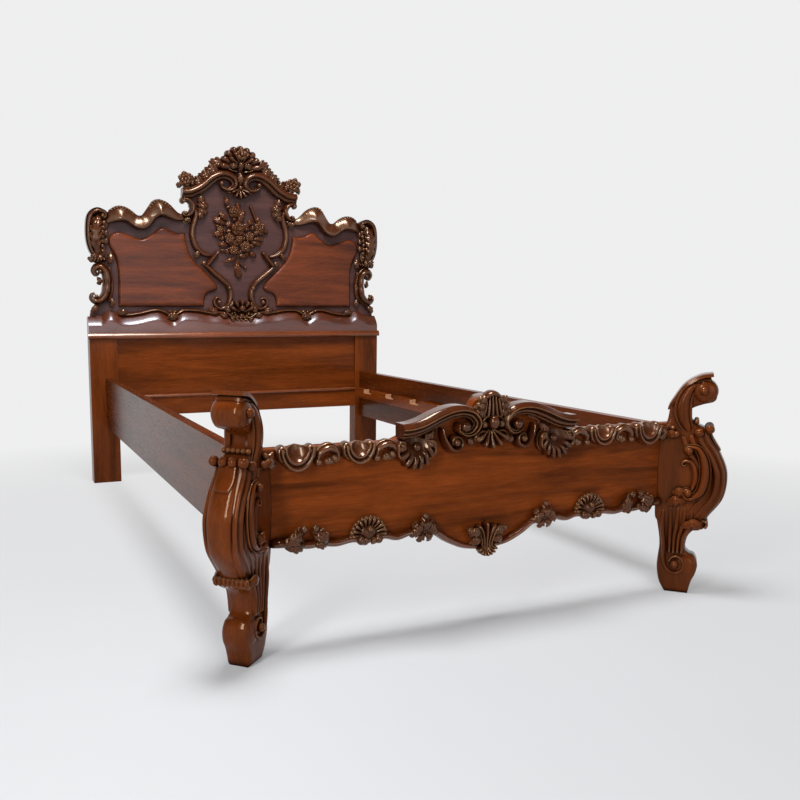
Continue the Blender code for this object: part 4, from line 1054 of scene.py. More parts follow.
class BED_OT_crest(bpy.types.Operator):
    """Carve the crest shell, its stepping leaves, the rosettes at the arm ends and the pendant shell"""
    bl_idname = "bed.crest"
    bl_label = "Crest and rosettes"

    def execute(self, context):
        ready = finishes()
        petals = context.scene.bed_head.petals
        crest = head_carver()
        crest.fan((0, 0.680), 4, 176, 9, 0.024, 0.084, 0.038, 0.036, 0.002)
        crest.fan((0, 0.690), 30, 150, 5, 0.020, 0.056, 0.024, 0.026, 0.026)
        crest.flower((0, 0.738, 0.040), 0.024, petals, 0.018, 1)
        crest.leaf([(0, 0.712, 0.030), (0, 0.694, 0.042), (0, 0.668, 0.028)], 0.026, 3)
        crest.leaf([(0, 0.668, 0.020), (0, 0.632, 0.032), (0, 0.600, 0.018)], 0.030, 4)
        for side in SIDES.values():
            for spine in CREST_LEAVES:
                crest.leaf([(side * across, up, level) for (across, up),
                            level in zip(spine, (0.006, 0.022, 0.008))], 0.048, 5, 1.0, tip=0.05)
            crest.curled(scroll([(side * 0.020, 0.664, 0.014), (side * 0.044, 0.668, 0.018),
                                 (side * 0.070, 0.680, 0.016)], end=(0.8, 0.012, side)), (0.026, 0.008),
                         SCROLL, 0.034)
            crest.leaf([(side * 0.012, 0.700, 0.030), (side * 0.034, 0.690, 0.042),
                        (side * 0.056, 0.698, 0.030)], 0.030, 3)
        crest.finish("crest_shell", ready["carved_mahogany"], "carved_wood", ["head_crest"])
        for label, side in SIDES.items():
            rosette = head_carver(side)
            rosette.flower((0.258, 0.616, 0.016), 0.034, petals + 1, 0.024, 2, (0.2, 0.1))
            for base, tip in (((0.240, 0.602), (0.208, 0.600)), ((0.270, 0.596), (0.296, 0.586)),
                              ((0.252, 0.592), (0.246, 0.572)), ((0.240, 0.622), (0.216, 0.626))):
                rosette.sprig(base, tip, (0.012, 0.024, 0.012), 0.028)
            rosette.finish("rosette_" + label, ready["carved_mahogany"], "carved_wood",
                           ["head_rosette_" + label])
        pendant = head_carver()
        pendant.fan((0, 0.590), 205, 335, 5, 0.006, 0.040, 0.017, 0.020, 0.010)
        pendant.ball((0, 0.592, 0.024), 0.010)
        for side in SIDES.values():
            track, _ = scroll([(side * 0.010, 0.602, 0.010), (side * 0.026, 0.584, 0.014),
                               (side * 0.046, 0.570, 0.012)], end=(0.7, 0.010, side))
            pendant.sweep(track, SCROLL, 0.020)
        pendant.finish("pendant_shell", ready["carved_mahogany"], "carved_wood", ["head_pendant"])
        return {"FINISHED"}


UPPER_STRAP = [(0.228, 0.502, 0.026), (0.208, 0.472, 0.029), (0.214, 0.440, 0.029), (0.224, 0.405, 0.028),
               (0.226, 0.368, 0.028), (0.212, 0.322, 0.027), (0.180, 0.292, 0.025), (0.146, 0.282, 0.018)]
ELBOW_BAR = [(0.110, 0.298, 0.017), (0.134, 0.270, 0.021), (0.158, 0.242, 0.021)]
LOWER_STRAP = [(0.164, 0.236, 0.022), (0.128, 0.204, 0.027), (0.090, 0.174, 0.028), (0.062, 0.146, 0.028),
               (0.050, 0.108, 0.028), (0.058, 0.066, 0.026), (0.086, 0.041, 0.023), (0.116, 0.046, 0.019),
               (0.129, 0.070, 0.015), (0.116, 0.090, 0.011), (0.100, 0.086, 0.008)]


class BED_OT_straps(bpy.types.Operator):
    """Carve the lyre straps round the cartouche"""
    bl_idname = "bed.straps"
    bl_label = "Lyre straps"

    def execute(self, context):
        ready = finishes()
        rise = context.scene.bed_head.strap_rise
        for label, side in SIDES.items():
            upper = head_carver(side)
            upper.sweep(smooth_track(UPPER_STRAP), ROUND, rise)
            upper.sweep(smooth_track(ELBOW_BAR), ROUND, rise * 1.2)
            upper.leaf([(0.190, 0.296, 0.010), (0.206, 0.286, 0.020), (0.214, 0.266, 0.010)], 0.026, 3)
            upper.leaf([(0.232, 0.428, 0.010), (0.246, 0.440, 0.018), (0.250, 0.456, 0.010)], 0.024, 3)
            upper.finish("upper_strap_" + label, ready["carved_mahogany"], "carved_wood",
                         ["head_upper_strap_" + label])
            lower = head_carver(side)
            lower.sweep(smooth_track(LOWER_STRAP), ROUND, rise)
            lower.ball((0.107, 0.069, 0.018), 0.011)
            lower.ball((0.058, 0.134, 0.020), 0.010)
            lower.leaf([(0.158, 0.240, 0.010), (0.176, 0.246, 0.020), (0.186, 0.236, 0.010)], 0.024, 2)
            lower.leaf([(0.112, 0.036, 0.010), (0.134, 0.032, 0.022), (0.156, 0.038, 0.010)], 0.026, 3)
            lower.finish("lower_strap_" + label, ready["carved_mahogany"], "carved_wood",
                         ["head_lower_strap_" + label])
        return {"FINISHED"}


BLOOMS = [(-0.031, 0.482, 0.026, 1), (0.094, 0.419, 0.026, 1), (-0.012, 0.408, 0.034, 2),
          (-0.096, 0.400, 0.017, 1), (-0.052, 0.362, 0.026, 1), (0.022, 0.326, 0.026, 1),
          (-0.034, 0.310, 0.023, 1), (0.044, 0.374, 0.022, 1), (-0.006, 0.364, 0.019, 1)]
STEMS = [[(-0.036, 0.470), (-0.056, 0.500), (-0.062, 0.518)],
         [(0.046, 0.376), (0.078, 0.392), (0.090, 0.410)],
         [(-0.036, 0.330), (-0.064, 0.312), (-0.088, 0.306)],
         [(0.030, 0.330), (0.066, 0.340), (0.104, 0.360)],
         [(-0.012, 0.300), (-0.010, 0.262), (0.004, 0.242), (0.024, 0.230)],
         [(-0.05, 0.38), (-0.084, 0.410), (-0.116, 0.440)]]
SPRAYS = [((-0.010, 0.430), (0.020, 0.494), 0.026), ((-0.070, 0.424), (-0.126, 0.452), 0.028),
          ((-0.076, 0.380), (-0.130, 0.382), 0.026), ((-0.060, 0.440), (-0.098, 0.480), 0.026),
          ((0.030, 0.420), (0.062, 0.452), 0.024), ((0.050, 0.350), (0.100, 0.338), 0.020),
          ((0.056, 0.362), (0.112, 0.366), 0.018), ((0.040, 0.300), (0.076, 0.284), 0.024),
          ((-0.056, 0.330), (-0.104, 0.338), 0.024), ((0.000, 0.440), (-0.012, 0.524), 0.022),
          ((0.020, 0.396), (0.034, 0.420), 0.026), ((-0.024, 0.360), (0.004, 0.352), 0.028),
          ((0.064, 0.400), (0.120, 0.390), 0.022), ((-0.014, 0.290), (0.030, 0.276), 0.022)]


class BED_OT_bouquet(bpy.types.Operator):
    """Carve the bunch of flowers in the cartouche and the shell at its foot"""
    bl_idname = "bed.bouquet"
    bl_label = "Bouquet and base shell"

    def execute(self, context):
        ready = finishes()
        petals = context.scene.bed_head.petals
        bunch = head_carver()
        for number, (across, up, radius, layers) in enumerate(BLOOMS):
            tilt = (across * 2.5, (up - 0.4) * 2)
            bunch.flower((across, up, 0.008), radius * 0.95, petals, radius * 0.6, layers + 1, tilt)
            for turn in range(4):
                angle = 2.4 * (4 * number + turn)
                spine = [(across + math.cos(angle) * radius * part, up + math.sin(angle) * radius * part,
                          out) for part, out in ((0.6, 0.004), (1.2, 0.014), (1.9, 0.006))]
                bunch.leaf(spine, radius * 0.72, 3, 0.7)
        for rows in STEMS:
            bunch.sweep(smooth_track([(*row, 0.0065) for row in rows]), ROUND, 0.010)
            bunch.ball((*rows[-1], 0.007), 0.008, 0.8)
        for base, tip, width in SPRAYS:
            bunch.sprig(base, tip, (0.006, 0.016, 0.008), width, lean=0.7)
        bunch.leaf([(-0.024, 0.276, 0.008), (-0.052, 0.262, 0.018), (-0.082, 0.255, 0.010)], 0.018, 1, 0.1)
        bunch.leaf([(-0.014, 0.262, 0.008), (-0.018, 0.226, 0.020), (-0.003, 0.180, 0.008)], 0.032, 2, 0.5)
        bunch.leaf([(-0.058, 0.504, 0.008), (-0.064, 0.526, 0.020), (-0.066, 0.552, 0.008)], 0.024, 1, 0.1)
        bunch.sweep(smooth_track([(0.080, 0.440, 0.009), (0.066, 0.476, 0.013), (0.052, 0.512, 0.015)]),
                    ROUND, 0.016)
        bunch.finish("bouquet", ready["flower_mahogany"], "carved_wood", ["head_bouquet"])
        shell = head_carver()
        shell.dish((0, 0.022), 0.104, 0.040, 0.030, 2, 0.1, 14, 0.2)
        shell.fan((0, 0.020), 25, 155, 5, 0.012, 0.052, 0.023, 0.028, 0.006)
        shell.ball((0, 0.040, 0.034), 0.014, 0.8)
        shell.ball((0, 0.006, 0.022), 0.013, 0.8)
        for side in SIDES.values():
            shell.curled(scroll([(side * 0.016, 0.000, 0.014), (side * 0.044, 0.000, 0.019),
                                 (side * 0.070, 0.018, 0.016)], end=(0.85, 0.014, side)), (0.022, 0.008),
                         SCROLL, 0.028)
            for base, tip in (((0.034, 0.046), (0.066, 0.064)), ((0.044, 0.030), (0.086, 0.040)),
                              ((0.060, 0.004), (0.108, 0.012)), ((0.030, -0.004), (0.056, -0.020))):
                shell.sprig(base, tip, (0.010, 0.026, 0.010), 0.028, side=side)
        shell.finish("base_shell", ready["carved_mahogany"], "carved_wood", ["head_base_shell"])
        return {"FINISHED"}


FOOT_TOP = [(0.262, 0.000, CORNER), (0.215, 0.017), (0.150, 0.031), (0.095, 0.061), (0.050, 0.064),
            (0.036, 0.088), (0.000, 0.098)]
FOOT_HEM = [(0.530, 0.005), (0.475, 0.009), (0.395, 0.003), (0.327, 0.001), (0.256, -0.003), (0.178, 0.003),
            (0.125, -0.009), (0.066, -0.043), (0.000, -0.053)]


class BED_OT_foot_panel(bpy.types.Operator):
    """Cut the footboard panel"""
    bl_idname = "bed.foot_panel"
    bl_label = "Footboard panel"

    def execute(self, context):
        ready = finishes()
        drop = RAIL_LOW.z - PANEL_TOP
        top = whole([(FOOT_PANEL_HIGH.x, 0.0, CORNER)] + FOOT_TOP)
        hem = [(across, up + drop) for across, up in FOOT_HEM]
        under = whole([(FOOT_PANEL_HIGH.x, drop + 0.007, CORNER)] + hem)[::-1]
        panel = foot_carver()
        thick = FOOT_PANEL_HIGH.y - FOOT_PANEL_LOW.y
        panel.slab(closed_outline(top + under, 0.006), flat(-thick), flat(0.0), ARRIS, 0.03)
        panel.finish("footboard_panel", ready["foot_mahogany"], "plain_wood", ["foot_panel"],
                     sharp=BOARD_SHARP)
        return {"FINISHED"}


class BED_OT_frieze(bpy.types.Operator):
    """Carve the frieze of hanging shells and arcs, and the ruffled shells at the arm ends"""
    bl_idname = "bed.frieze"
    bl_label = "Frieze and ruffles"

    def execute(self, context):
        ready = finishes()
        settings = context.scene.bed_foot
        rise = settings.frieze_rise
        for label, side in SIDES.items():
            frieze = foot_carver(side)
            for place, width, drop in ((0.511, 0.084, 0.056), (0.356, 0.076, 0.048)):
                frieze.dish((place, -0.002), width, drop - 0.002, rise * 1.6, 2, 0.2)
                for way in (-1, 1):
                    across = place + way * width * 0.5
                    frieze.curled(scroll([(across - way * 0.014, -0.036, 0.006),
                                          (across - way * 0.002, -0.022, 0.012),
                                          (across + way * 0.001, -0.008, 0.014)], end=(0.9, 0.011, way)),
                                  (rise * 0.9, 0.0075), ROUND, rise * 1.2)
            for place in (0.431, 0.282):
                arc = [(place + 0.027, -0.036, 0.009), (place + 0.024, -0.016, 0.019),
                       (place, -0.004, 0.023), (place - 0.021, -0.013, 0.019),
                       (place - 0.024, -0.028, 0.012)]
                frieze.curled(scroll(arc, end=(0.8, 0.010, 1)), (rise * 0.7, 0.008), SCROLL * (-1, 1),
                              rise * 1.25)
                frieze.ball((place + 0.026, -0.036, rise * 0.6), 0.0095)
                frieze.leaf([(place - 0.012, -0.026, 0.006), (place - 0.002, -0.034, 0.014),
                             (place + 0.006, -0.028, 0.008)], 0.020, 2)
            frieze.leaf([(0.566, -0.006, 0.008), (0.574, -0.024, 0.016), (0.566, -0.044, 0.010)], 0.026, 3)
            frieze.finish("frieze_" + label, ready["frieze_mahogany"], "carved_wood",
                          ["foot_frieze_" + label])
            ruffle = foot_carver(side)
            ruffle.dish((0.205, -0.006), 0.104, 0.064, rise * 1.6, 1, 0.2, settings.frill, 0.13)
            ruffle.ball((0.200, -0.018, 0.006), 0.013)
            for way in (-1, 1):
                across = 0.205 + way * 0.050
                ruffle.curled(scroll([(across - way * 0.020, -0.050, 0.008),
                                      (across - way * 0.002, -0.034, 0.014), (across, -0.012, 0.015)],
                                     end=(0.9, 0.012, way)), (rise, 0.008), SCROLL, rise * 1.4)
            ruffle.finish("ruffle_" + label, ready["foot_carving"], "carved_wood", ["foot_ruffle_" + label])
        return {"FINISHED"}


FOOT_ARM = [(0.252, 0.026, 0.036), (0.228, 0.027, 0.037), (0.195, 0.035, 0.038), (0.155, 0.052, 0.037),
            (0.118, 0.064, 0.034), (0.086, 0.066, 0.031), (0.058, 0.058, 0.028), (0.041, 0.036, 0.024),
            (0.052, 0.014, 0.019), (0.074, 0.008, 0.015), (0.092, 0.020, 0.011), (0.090, 0.034, 0.008)]
UNDER_SCROLL = [(0.134, 0.022, 0.009), (0.129, 0.000, 0.014), (0.116, -0.022, 0.018)]


class BED_OT_foot_arms(bpy.types.Operator):
    """Carve the arch arms of the footboard, the scrolls under them and the palmette crest between"""
    bl_idname = "bed.foot_arms"
    bl_label = "Arch arms and crest"

    def execute(self, context):
        ready = finishes()
        rise = context.scene.bed_foot.arm_rise
        for label, side in SIDES.items():
            arm = foot_carver(side)
            arm.sweep(smooth_track(FOOT_ARM), ARM, rise, taper=0.35, ends=(0, 1))
            arm.ball((0.076, 0.028, 0.028), 0.014)
            arm.finish("arch_arm_" + label, ready["foot_carving"], "carved_wood", ["foot_arm_" + label])
            under = foot_carver(side)
            under.curled(scroll(UNDER_SCROLL, end=(1.25, 0.021, -1), step=0.002), (0.026, 0.009), ROUND,
                         0.034)
            under.ball((0.058, -0.010, 0.020), 0.011)
            under.leaf([(0.150, 0.026, 0.008), (0.168, 0.010, 0.018), (0.164, -0.016, 0.008)], 0.026, 3)
            under.finish("foot_scroll_piece_" + label, ready["foot_carving"], "carved_wood",
                         ["foot_scroll_" + label])
        self.crest(foot_carver()).finish("foot_crest_palmette", ready["foot_carving"], "carved_wood",
                                         ["foot_crest"])
        return {"FINISHED"}

    def crest(self, crest):
        """A fluted bell between curled leaves, a bud and a hanging shell, on a block over the panel."""
        step = [(0.040, 0.030, CORNER), (0.040, 0.070), (0.028, 0.076, CORNER), (0.024, 0.094),
                (0.0, 0.102)]
        thick = FOOT_PANEL_HIGH.y - FOOT_PANEL_LOW.y
        crest.slab(closed_outline(whole(step)), flat(-thick - 0.012), flat(0.020), ARRIS, 0.01)
        crest.sweep(smooth_track([(-0.024, 0.094, 0.010), (-0.012, 0.104, 0.015), (0.0, 0.107, 0.017),
                                  (0.012, 0.104, 0.015), (0.024, 0.094, 0.010)]), ROUND, 0.022, 0.018)
        for number in range(-2, 3):
            crest.sweep(smooth_track([(number * 0.0085, 0.100, 0.008), (number * 0.010, 0.076, 0.011),
                                      (number * 0.013, 0.052, 0.012)]), ROUND, 0.016, 0.018)
        crest.ball((0, 0.036, 0.036), 0.014, 1.0, 1.25)
        crest.fan((0, 0.022), 215, 325, 5, 0.010, 0.046, 0.016, 0.022, 0.014)
        for side in SIDES.values():
            for base, tip in (((0.022, 0.056), (0.044, 0.062)), ((0.021, 0.072), (0.042, 0.080)),
                              ((0.018, 0.086), (0.036, 0.096))):
                crest.sprig(base, tip, (0.020, 0.036, 0.026), 0.022, 2, side=side)
                crest.ball((side * tip[0], tip[1], 0.030), 0.0065)
            for rows, end in (([(0.008, 0.050, 0.010), (0.022, 0.048, 0.013), (0.032, 0.036, 0.011)],
                               (0.8, 0.009, -side)), ([(0.012, 0.010, 0.010), (0.030, 0.014, 0.014),
                                                       (0.046, 0.004, 0.012)], (0.8, 0.010, -side))):
                crest.curled(scroll(mirrored(rows, side), end=end), (0.032, 0.008), ROUND, 0.036)
        return crest


LOWER_BEAD = [(0.545, 0.010, 0.020), (0.520, 0.006, 0.018), (0.478, 0.000, 0.018), (0.450, 0.003, 0.018),
              (0.410, -0.002, 0.018), (0.370, 0.003, 0.018), (0.327, -0.002, 0.018), (0.284, 0.003, 0.018),
              (0.250, -0.004, 0.018), (0.214, 0.004, 0.018), (0.178, 0.003, 0.018), (0.145, -0.002, 0.018),
              (0.110, -0.024, 0.018), (0.066, -0.044, 0.017), (0.028, -0.052, 0.015)]
HEM_CORNER_LEAVES = [([(0.548, 0.006, 0.012), (0.520, 0.022, 0.026), (0.497, 0.042, 0.014)], 0.034),
                     ([(0.540, 0.002, 0.012), (0.514, 0.000, 0.022), (0.490, 0.006, 0.012)], 0.024),
                     ([(0.434, 0.000, 0.010), (0.448, 0.020, 0.024), (0.466, 0.040, 0.014)], 0.030),
                     ([(0.470, 0.002, 0.012), (0.452, 0.002, 0.022), (0.432, 0.006, 0.010)], 0.022)]
KNOT_LEAVES = [([(0.002, 0.002, 0.012), (0.018, 0.016, 0.024), (0.030, 0.028, 0.012)], 0.024),
               ([(0.006, -0.002, 0.012), (0.024, 0.004, 0.022), (0.040, -0.004, 0.010)], 0.022),
               ([(0.002, 0.004, 0.012), (0.010, -0.008, 0.020), (0.016, -0.022, 0.010)], 0.020)]
CENTRE_LEAVES = [([(0.012, -0.024, 0.012), (0.036, -0.012, 0.026), (0.052, -0.022, 0.012)], 0.026),
                 ([(0.010, -0.038, 0.012), (0.032, -0.034, 0.024), (0.044, -0.048, 0.010)], 0.024)]


class BED_OT_lower_moulding(bpy.types.Operator):
    """Carve the serpentine lower edge of the footboard with its leaves and shells"""
    bl_idname = "bed.lower_moulding"
    bl_label = "Lower moulding"

    def execute(self, context):
        ready = finishes()
        rise = context.scene.bed_foot.hem_rise
        for label, side in SIDES.items():
            hem = foot_carver(side, RAIL_LOW.z)
            bead = foot_carver(side, RAIL_LOW.z)
            bead.sweep(smooth_track(LOWER_BEAD), ROUND, rise)
            bead.finish("hem_bead_" + label, ready["bead_mahogany"], "carved_wood")
            hem.sweep(smooth_track([(0.566, 0.011, 0.018), (0.553, 0.013, 0.024), (0.538, 0.010, 0.020)]),
                      ROUND, rise * 1.4)
            self.corner_leaves(hem, rise)
            self.shell(hem, 0.327, rise)
            self.cluster(hem, 0.178)
            hem.finish("lower_edge_" + label, ready["foot_carving"], "carved_wood",
                       ["foot_lower_moulding_" + label])
        centre = foot_carver(1, RAIL_LOW.z)
        for number in range(-2, 3):
            out = abs(number)
            centre.sweep(smooth_track([(number * 0.0070, -0.064, 0.010), (number * 0.0075, -0.038, 0.011),
                                       (number * 0.013, -0.014, 0.014),
                                       (number * 0.022, 0.006 - 0.006 * out, 0.014)]), ROUND, 0.024, 0.002)
        centre.fan((0, -0.046), 205, 335, 7, 0.006, 0.026, 0.011, 0.020, 0.006)
        for side in SIDES.values():
            for spine, width in CENTRE_LEAVES:
                centre.leaf(mirrored(spine, side), width, 3)
            centre.ball((side * 0.050, -0.006, 0.018), 0.010)
        centre.finish("centre_shell", ready["foot_carving"], "carved_wood", ["foot_centre_shell"])
        return {"FINISHED"}

    def corner_leaves(self, hem, rise):
        """Two leaves that curl up towards each other beside the leg."""
        for spine, width in HEM_CORNER_LEAVES:
            hem.leaf(spine, width, 4, 0.6)
        for across, up, radius in ((0.494, 0.043, 0.009), (0.466, 0.042, 0.010), (0.460, 0.020, 0.009)):
            hem.ball((across, up, rise * 0.9), radius)

    def shell(self, hem, place, rise):
        """A domed shell with a fluted rim and two curls."""
        hem.fan((place, 0.008), 4, 176, 11, 0.018, 0.042, 0.0125, rise * 0.75, 0.002)
        for turn in np.radians(np.linspace(0, 180, 14)):
            hem.ball((place + 0.044 * math.cos(turn), 0.008 + 0.044 * math.sin(turn), rise * 0.45), 0.0062)
        hem.ball((place, 0.014, 0.0), 0.026, 0.72)
        hem.ball((place, 0.026, rise), 0.008)
        for way in (-1, 1):
            hem.ball((place + way * 0.023, 0.000, rise * 0.9), 0.011)
            hem.leaf([(place + way * 0.005, 0.006, 0.014), (place + way * 0.010, -0.002, 0.022),
                      (place + way * 0.012, -0.014, 0.010)], 0.016, 2)

    def cluster(self, hem, place):
        """A knot of leaves on the edge."""
        hem.leaf([(place, 0.002, 0.012), (place, 0.022, 0.026), (place, 0.044, 0.014)], 0.026, 3)
        hem.ball((place, 0.044, 0.018), 0.008)
        for way in (-1, 1):
            for spine, width in KNOT_LEAVES:
                hem.leaf([(place + way * row[0],) + row[1:] for row in spine], width, 3)


LEG_OUTLINE = [(-0.014, 0.000, CORNER), (-0.030, 0.030), (-0.037, 0.076), (-0.033, 0.139), (-0.042, 0.200),
               (-0.050, 0.236), (-0.050, 0.436), (-0.030, 0.484), (-0.020, 0.536), (0.011, 0.585),
               (0.049, 0.608), (0.076, 0.612, CORNER), (0.084, 0.590), (0.094, 0.566), (0.088, 0.546),
               (0.058, 0.536), (0.031, 0.522), (0.032, 0.498), (0.050, 0.481), (0.076, 0.470, CORNER),
               (0.082, 0.445), (0.106, 0.402), (0.124, 0.347), (0.118, 0.279), (0.086, 0.226),
               (0.070, 0.194, CORNER), (0.050, 0.180), (0.038, 0.160), (0.035, 0.128), (0.046, 0.114),
               (0.060, 0.108), (0.069, 0.086), (0.064, 0.058), (0.055, 0.036), (0.047, 0.000, CORNER)]
LEG_THICKNESS = [(0.000, 0.058), (0.065, 0.066), (0.120, 0.056), (0.190, 0.066), (0.250, 0.074),
                 (0.350, 0.078), (0.450, 0.074), (0.490, 0.058), (0.530, 0.056), (0.560, 0.066),
                 (0.620, 0.066)]
LEG_BELLY = [(0.080, 0.466, 0.080), (0.087, 0.445, 0.086), (0.114, 0.402, 0.090), (0.133, 0.347, 0.092),
             (0.126, 0.279, 0.086), (0.092, 0.225, 0.078), (0.078, 0.202, 0.074)]
LEG_CAP = [(-0.016, 0.545, 0.064), (0.012, 0.588, 0.072), (0.049, 0.613, 0.078), (0.082, 0.620, 0.078)]


class BED_OT_legs(bpy.types.Operator):
    """Carve the two scroll legs that stand diagonally at the foot"""
    bl_idname = "bed.legs"
    bl_label = "Scroll legs"

    def execute(self, context):
        ready = finishes()
        settings = context.scene.bed_legs
        for label, side in SIDES.items():
            inward = np.array((-side, -1, 0)) * DIAGONAL
            corner = np.array((side * HALF_WIDTH, PANEL_FACE, 0)) + settings.shift * inward
            leg = Carver(corner, (side * DIAGONAL, -DIAGONAL, 0), inward)
            self.body(leg)
            self.belly(leg, settings)
            self.neck(leg, settings)
            for face in (1, -1):
                self.flank(leg, face)
            leg.finish("scroll_leg_" + label, ready["leg_mahogany"], "carved_wood", ["foot_leg_" + label])
        return {"FINISHED"}

    def body(self, leg):
        """The sawn core of the leg, and the roll of its foot."""
        outline = closed_outline(LEG_OUTLINE)
        heights, widths = np.array(LEG_THICKNESS).T
        leg.slab(outline, lambda up: -np.interp(up, heights, widths) / 2,
                 lambda up: np.interp(up, heights, widths) / 2, LEG_ARRIS, 0.012)
        turn = np.linspace(0, 2 * math.pi, 32, endpoint=False)
        for heart, radius, reach in (((0.064, 0.573), 0.034, 0.040), ((0.034, 0.080), 0.035, 0.035)):
            rows = []
            for part in np.linspace(-1, 1, 15):
                bulge = radius * 0.6
                if abs(part) < 1:
                    bulge = radius * (1 - abs(part) ** 5) ** 0.2 * (1.0 - 0.06 * part ** 2)
                rows.append(np.column_stack([heart[0] + bulge * np.cos(turn),
                                             heart[1] + bulge * np.sin(turn),
                                             np.full(len(turn), reach * part)]))
            leg.tube(np.array(rows))
        leg.sweep(smooth_track(LEG_CAP), FILLET, 0.010, -0.006, 0.0, edge=1, ends=(1, 0))

    def belly(self, leg, settings):
        """The smooth front band with reeds along both sides."""
        front = [(0.0, 1.0), (0.14, 0.993), (0.26, 0.97), (0.30, 0.945), (0.32, 0.91)]
        corner = beaded([(0.33, 0.89), (0.42, 0.77), (0.42, 0.0)], [1, settings.reeds], 0.085)
        half = np.vstack([front, corner])
        profile = np.vstack([half[::-1] * (-1, 1), half[1:]])
        leg.sweep(smooth_track(LEG_BELLY), profile, 0.078, -0.078, 0.0, edge=1, ends=(0, 0))

    def neck(self, leg, settings):
        """The two rows of beads under the neck, and the leaf lip over the ankle."""
        for number in range(settings.beads):
            away = (number / (settings.beads - 1) - 0.5) * 0.060
            leg.ball((0.047, 0.489, away), 0.0065)
        for away in (-0.036, -0.012, 0.012, 0.036):
            leg.ball((0.081, 0.470, away), 0.0125)
        lip = [(0.076, 0.210, 0.076), (0.079, 0.203, 0.078), (0.074, 0.197, 0.074)]
        leg.sweep(smooth_track(lip), FILLET, 0.030, -0.024, 0.0, edge=1, ends=(1, 1))
        for away in np.linspace(-0.038, 0.038, 8):
            leg.leaf([(0.074, 0.216, away), (0.086, 0.209, away + 0.003), (0.084, 0.194, away + 0.006)],
                     0.015, 2, 0.5, 0.3, out=(1, 0, 0))
        tablet = [(0.081, 0.462, 0.042), (0.089, 0.444, 0.044), (0.100, 0.426, 0.044),
                  (0.108, 0.413, 0.036)]
        leg.sweep(smooth_track(tablet), FILLET, 0.005, -0.001, 0.0, edge=1, ends=(0, 0.3))

    def flank(self, leg, face):
        """The scrolls, reeds, balls and leaves on one side of the leg."""
        strap = [(0.036, 0.444, 0.006), (0.027, 0.466, 0.026), (0.014, 0.494, 0.042), (0.010, 0.526, 0.046),
                 (0.016, 0.558, 0.038), (0.032, 0.584, 0.027), (0.054, 0.593, 0.020)]
        leg.curled(scroll(strap, end=(0.95, 0.019, -1)), (face * 0.040, 0.012), BAND, 0.018, 0.025,
                   face=face)
        hook = [(0.034, 0.421, 0.014), (0.056, 0.414, 0.022), (0.071, 0.382, 0.030), (0.075, 0.338, 0.034),
                (0.066, 0.298, 0.031), (0.046, 0.278, 0.022)]
        leg.curled(scroll(hook, start=(0.8, 0.013, 1), end=(0.85, 0.018, -1)), (face * 0.047, 0.011), BAND,
                   0.021, 0.036, face=face)
        inner = [(0.022, 0.380, 0.010), (0.038, 0.378, 0.016), (0.049, 0.356, 0.019), (0.051, 0.328, 0.018),
                 (0.044, 0.302, 0.012)]
        track, _ = scroll(inner, start=(0.7, 0.009, 1))
        leg.sweep(track, ROUND, 0.016, 0.036, face=face)
        spiral = [(-0.027, 0.236, 0.013), (-0.028, 0.190, 0.015), (-0.022, 0.140, 0.014),
                  (-0.021, 0.098, 0.013), (-0.012, 0.070, 0.013), (0.008, 0.058, 0.013),
                  (0.027, 0.067, 0.012), (0.032, 0.086, 0.011), (0.021, 0.103, 0.010),
                  (0.003, 0.103, 0.008), (-0.005, 0.090, 0.006)]
        leg.sweep(smooth_track(spiral), ROUND, 0.013, 0.027, face=face)
        leg.ball((0.009, 0.083, face * 0.036), 0.011)
        for number in range(4):
            top = -0.008 + 0.019 * number
            foot = -0.006 + 0.0105 * number
            reed = [(top, 0.244, 0.014), (top * 0.88, 0.200, 0.015), (foot * 1.1, 0.160, 0.013),
                    (foot, 0.118, 0.009)]
            leg.sweep(smooth_track(reed), ROUND, 0.011, 0.028, face=face)
        for across, up, radius in ((0.054, 0.460, 0.0125), (-0.004, 0.452, 0.010), (-0.014, 0.470, 0.007)):
            leg.ball((across, up, face * 0.040), radius)
        for spine, width in (([(0.040, 0.284), (0.012, 0.292), (-0.006, 0.280)], 0.026),
                             ([(0.038, 0.268), (0.006, 0.268), (-0.020, 0.254)], 0.028),
                             ([(0.020, 0.190), (0.052, 0.206), (0.080, 0.196)], 0.026),
                             ([(0.004, 0.446), (-0.014, 0.452), (-0.030, 0.444)], 0.024)):
            levels = (0.036, 0.048, 0.038)
            leg.leaf([(*spot, face * level) for spot, level in zip(spine, levels)], width, 3,
                     out=(0, 0, face))


